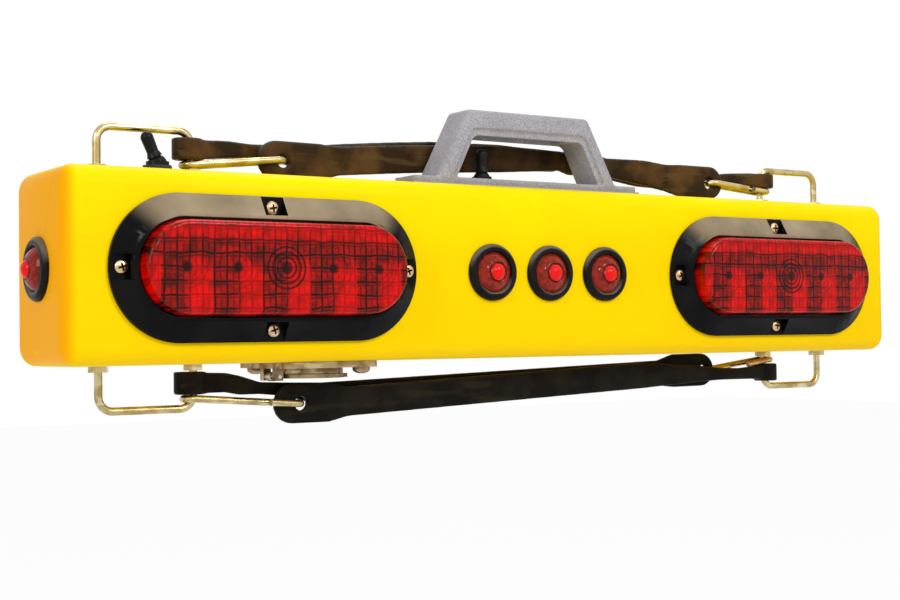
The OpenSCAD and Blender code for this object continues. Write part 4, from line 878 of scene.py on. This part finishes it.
def makeScrewTree():
    tree = bpy.data.node_groups.new("screwsOnPoints", "GeometryNodeTree")
    tree.interface.new_socket(name="Geometry", in_out="INPUT", socket_type="NodeSocketGeometry")
    for label in ("Head Diameter", "Head Height", "Shank Diameter", "Shank Length"):
        tree.interface.new_socket(name=label, in_out="INPUT", socket_type="NodeSocketFloat")
    tree.interface.new_socket(name="Facing", in_out="INPUT", socket_type="NodeSocketVector")
    tree.interface.new_socket(name="Seed", in_out="INPUT", socket_type="NodeSocketInt")
    tree.interface.new_socket(name="Metal", in_out="INPUT", socket_type="NodeSocketMaterial")
    tree.interface.new_socket(name="Geometry", in_out="OUTPUT", socket_type="NodeSocketGeometry")
    nodes, links = tree.nodes, tree.links
    start, end = nodes.new("NodeGroupInput"), nodes.new("NodeGroupOutput")
    wide, high = start.outputs["Head Diameter"], start.outputs["Head Height"]

    def put(kind, **values):
        node = nodes.new(kind)
        for label, value in values.items():
            socket = node.inputs[label.replace("_", " ")]
            if isinstance(value, bpy.types.NodeSocket):
                links.new(value, socket)
            else:
                socket.default_value = value
        return node

    def vector(x, y, z):
        node = nodes.new("ShaderNodeCombineXYZ")
        for i, value in enumerate((x, y, z)):
            if isinstance(value, bpy.types.NodeSocket):
                links.new(value, node.inputs[i])
            else:
                node.inputs[i].default_value = value
        return node.outputs[0]

    shape = screwShape
    # dome over a low straight rim, from a sphere whose lower half is flattened
    ball = put("GeometryNodeMeshUVSphere", Segments=shape["segments"], Rings=shape["rings"], Radius=0.5)
    split = put("ShaderNodeSeparateXYZ", Vector=nodes.new("GeometryNodeInputPosition").outputs[0])
    rim = mathNode(tree, "MULTIPLY", high, shape["rimShare"])
    dome = mathNode(tree, "MULTIPLY", high, 2 * (1 - shape["rimShare"]))
    upper = mathNode(tree, "MULTIPLY_ADD", mathNode(tree, "MAXIMUM", split.outputs["Z"], 0.0), dome, rim)
    lower = mathNode(tree, "MULTIPLY", mathNode(tree, "LESS_THAN", split.outputs["Z"], -0.01), rim)
    place = vector(mathNode(tree, "MULTIPLY", split.outputs["X"], wide),
                   mathNode(tree, "MULTIPLY", split.outputs["Y"], wide),
                   mathNode(tree, "SUBTRACT", upper, lower))
    head = put("GeometryNodeSetPosition", Geometry=ball.outputs["Mesh"], Position=place)
    # cross recess
    long = mathNode(tree, "MULTIPLY", wide, shape["recessLength"])
    thin = mathNode(tree, "MULTIPLY", wide, shape["recessWidth"])
    middle = mathNode(tree, "MULTIPLY", high, shape["recessFloor"] + 0.5)
    cut = put("GeometryNodeMeshBoolean", Mesh_1=head.outputs[0])
    cut.operation = "DIFFERENCE"
    for size in (vector(long, thin, high), vector(thin, long, high)):
        bar = put("GeometryNodeMeshCube", Size=size)
        moved = put("GeometryNodeTransform", Geometry=bar.outputs["Mesh"], Translation=vector(0, 0, middle))
        links.new(moved.outputs[0], cut.inputs["Mesh 2"])
    # shank below the head
    length = start.outputs["Shank Length"]
    rod = put("GeometryNodeMeshCylinder", Vertices=shape["segments"], Depth=length,
              Radius=mathNode(tree, "MULTIPLY", start.outputs["Shank Diameter"], 0.5))
    sunk = put("GeometryNodeTransform", Geometry=rod.outputs["Mesh"],
               Translation=vector(0, 0, mathNode(tree, "MULTIPLY", length, -0.5)))
    screw = nodes.new("GeometryNodeJoinGeometry")
    links.new(cut.outputs["Mesh"], screw.inputs[0])
    links.new(sunk.outputs[0], screw.inputs[0])
    # each screw is turned by its own small angle
    chance = nodes.new("FunctionNodeRandomValue")
    chance.data_type = "FLOAT"
    numbers = [socket for socket in chance.inputs if socket.enabled]
    numbers[0].default_value = -shape["spin"]
    numbers[1].default_value = shape["spin"]
    links.new(start.outputs["Seed"], chance.inputs["Seed"])
    value = [socket for socket in chance.outputs if socket.enabled][0]
    facing = put("FunctionNodeEulerToRotation", Euler=start.outputs["Facing"])
    spin = put("FunctionNodeEulerToRotation", Euler=vector(0, 0, value))
    turned = nodes.new("FunctionNodeRotateRotation")
    turned.rotation_space = "LOCAL"
    links.new(facing.outputs[0], turned.inputs[0])
    links.new(spin.outputs[0], turned.inputs[1])
    placed = put("GeometryNodeInstanceOnPoints", Points=start.outputs["Geometry"], Instance=screw.outputs[0],
                 Rotation=turned.outputs[0])
    real = put("GeometryNodeRealizeInstances", Geometry=placed.outputs[0])
    last = put("GeometryNodeSetMaterial", Geometry=real.outputs[0], Material=start.outputs["Metal"])
    links.new(last.outputs[0], end.inputs[0])
    return tree


screwTree = makeScrewTree()


def middleOf(points):
    return [(min(p[i] for p in points) + max(p[i] for p in points)) / 2 for i in range(3)]


def paintRecessShade(obj, height, recess, facing):
    # paints shade into each cross recess: the faces inside it get the dark material of the second slot
    obj.data.materials.append(recessShade)
    for faces in looseParts(obj.data):
        ids = {i for f in faces for i in obj.data.polygons[f].vertices}
        points = [obj.data.vertices[i].co for i in ids]
        top = max(facing * p.y for p in points)
        middle = middleOf(points)
        for f in faces:
            face = obj.data.polygons[f]
            out = math.hypot(face.center.x - middle[0], face.center.z - middle[2])
            depth = top - facing * face.center.y
            if out < recess and 0.2 * height < depth < 0.6 * height:
                face.material_index = 1


def makeScrews(node, head, height, shank, length, facing, seed, metal):
    solids = mergedCopy(node, node + "_solids")
    seats = bmesh.new()
    for faces in looseParts(solids.data):
        ids = {i for f in faces for i in solids.data.polygons[f].vertices}
        points = [solids.data.vertices[i].co for i in ids]
        middle = middleOf(points)
        top = facing * max(facing * p.y for p in points)
        seats.verts.new((middle[0], top - facing * height, middle[2]))
    bpy.data.objects.remove(solids)
    obj = meshFromBmesh(node + "_finished", seats)
    modifier = obj.modifiers.new("screws", "NODES")
    modifier.node_group = screwTree
    values = {"Head Diameter": head, "Head Height": height, "Shank Diameter": shank, "Shank Length": length,
              "Facing": (-facing * math.pi / 2, 0, 0), "Seed": seed, "Metal": metal}
    for item in screwTree.interface.items_tree:
        if item.in_out == "INPUT" and item.name in values:
            modifier[item.identifier] = values[item.name]
    bakeModifiers(obj)
    smoothByAngle(obj)
    dress(obj, metal, boardBody, node)
    paintRecessShade(obj, height, screwShape["recessLength"] / 2 * head, facing)


for node, values in screwSets.items():
    makeScrews(node, **values)
print("stage 6: screws placed")


# Studio: pale floor, soft light, and the camera where the photographer stood

studio = {
    "floorZ": -0.42,
    "paper": 0.97,
    "whiteShare": 0.95,
    "key": {"size": 0.8, "power": 18, "place": (0.5, -1.8, 1.2)},
    "fill": {"size": 0.7, "power": 8, "place": (-1.7, -0.6, 0.6)},
    "top": {"size": 0.9, "power": 8, "place": (0.1, 0.4, 1.4)},
    "spark": {"size": 0.16, "power": 2.2, "place": (-0.55, -1.30, 0.62)},
    "world": 0.42,
}
cameraView = {
    "place": (-0.64035, -0.92167, -0.04473),
    "yaw": 33.814,
    "pitch": 1.441,
    "roll": 0.778,
    "lens": 61.53,
}


def seesWhite(tree):
    # 1 for the camera and for what metal and glass show, 0 for the light on the object
    path = tree.nodes.new("ShaderNodeLightPath")
    shiny = mathNode(tree, "MAXIMUM", path.outputs["Is Glossy Ray"], path.outputs["Is Transmission Ray"])
    return mathNode(tree, "MAXIMUM", path.outputs["Is Camera Ray"], shiny)


def makeFloor():
    bm = bmesh.new()
    bmesh.ops.create_grid(bm, x_segments=1, y_segments=1, size=6)
    for v in bm.verts:
        v.co.z = studio["floorZ"]
    floor = meshFromBmesh("floor", bm)
    material, tree, shader = newMaterial("floorPaper", Roughness=0.9)
    shader.inputs["Base Color"].default_value = (studio["paper"],) * 3 + (1,)
    white = tree.nodes.new("ShaderNodeEmission")
    share = mathNode(tree, "MULTIPLY", seesWhite(tree), studio["whiteShare"])
    mix = tree.nodes.new("ShaderNodeMixShader")
    tree.links.new(share, mix.inputs["Fac"])
    tree.links.new(shader.outputs[0], mix.inputs[1])
    tree.links.new(white.outputs[0], mix.inputs[2])
    tree.links.new(mix.outputs[0], tree.nodes["Material Output"].inputs["Surface"])
    floor.data.materials.append(material)


def makeWorld():
    world = bpy.data.worlds.new("studio")
    scene.world = world
    world.use_nodes = True
    tree = world.node_tree
    room = tree.nodes["Background"]
    room.inputs["Color"].default_value = (1, 1, 1, 1)
    room.inputs["Strength"].default_value = studio["world"]
    seen = tree.nodes.new("ShaderNodeBackground")
    seen.inputs["Color"].default_value = (1, 1, 1, 1)
    mix = tree.nodes.new("ShaderNodeMixShader")
    tree.links.new(seesWhite(tree), mix.inputs["Fac"])
    tree.links.new(room.outputs[0], mix.inputs[1])
    tree.links.new(seen.outputs[0], mix.inputs[2])
    tree.links.new(mix.outputs[0], tree.nodes["World Output"].inputs["Surface"])


def addSoftbox(name, size, power, place):
    lamp = bpy.data.lights.new(name, "AREA")
    lamp.shape = "SQUARE"
    lamp.size = size
    lamp.energy = power
    obj = bpy.data.objects.new(name, lamp)
    obj.location = place
    obj.rotation_mode = "QUATERNION"
    obj.rotation_quaternion = (-Vector(place)).to_track_quat("-Z", "Y")
    scene.collection.objects.link(obj)


def makeCamera():
    yaw, pitch, roll = (math.radians(cameraView[k]) for k in ("yaw", "pitch", "roll"))
    right = Vector((math.cos(yaw), -math.sin(yaw), 0))
    ahead = Vector((math.sin(yaw) * math.cos(pitch), math.cos(yaw) * math.cos(pitch), math.sin(pitch)))
    up = right.cross(ahead)
    rolledRight = right * math.cos(roll) - up * math.sin(roll)
    rolledUp = right * math.sin(roll) + up * math.cos(roll)
    data = bpy.data.cameras.new("photoCamera")
    data.lens = cameraView["lens"]
    data.sensor_width = 36
    camera = bpy.data.objects.new("photoCamera", data)
    turn = Matrix((rolledRight, rolledUp, -ahead)).transposed().to_4x4()
    camera.matrix_world = Matrix.Translation(cameraView["place"]) @ turn
    scene.collection.objects.link(camera)
    scene.camera = camera


makeFloor()
makeWorld()
for name in ("key", "fill", "top", "spark"):
    addSoftbox(name, **studio[name])
makeCamera()
scene.view_settings.view_transform = "Standard"
print("stage 7: studio made")
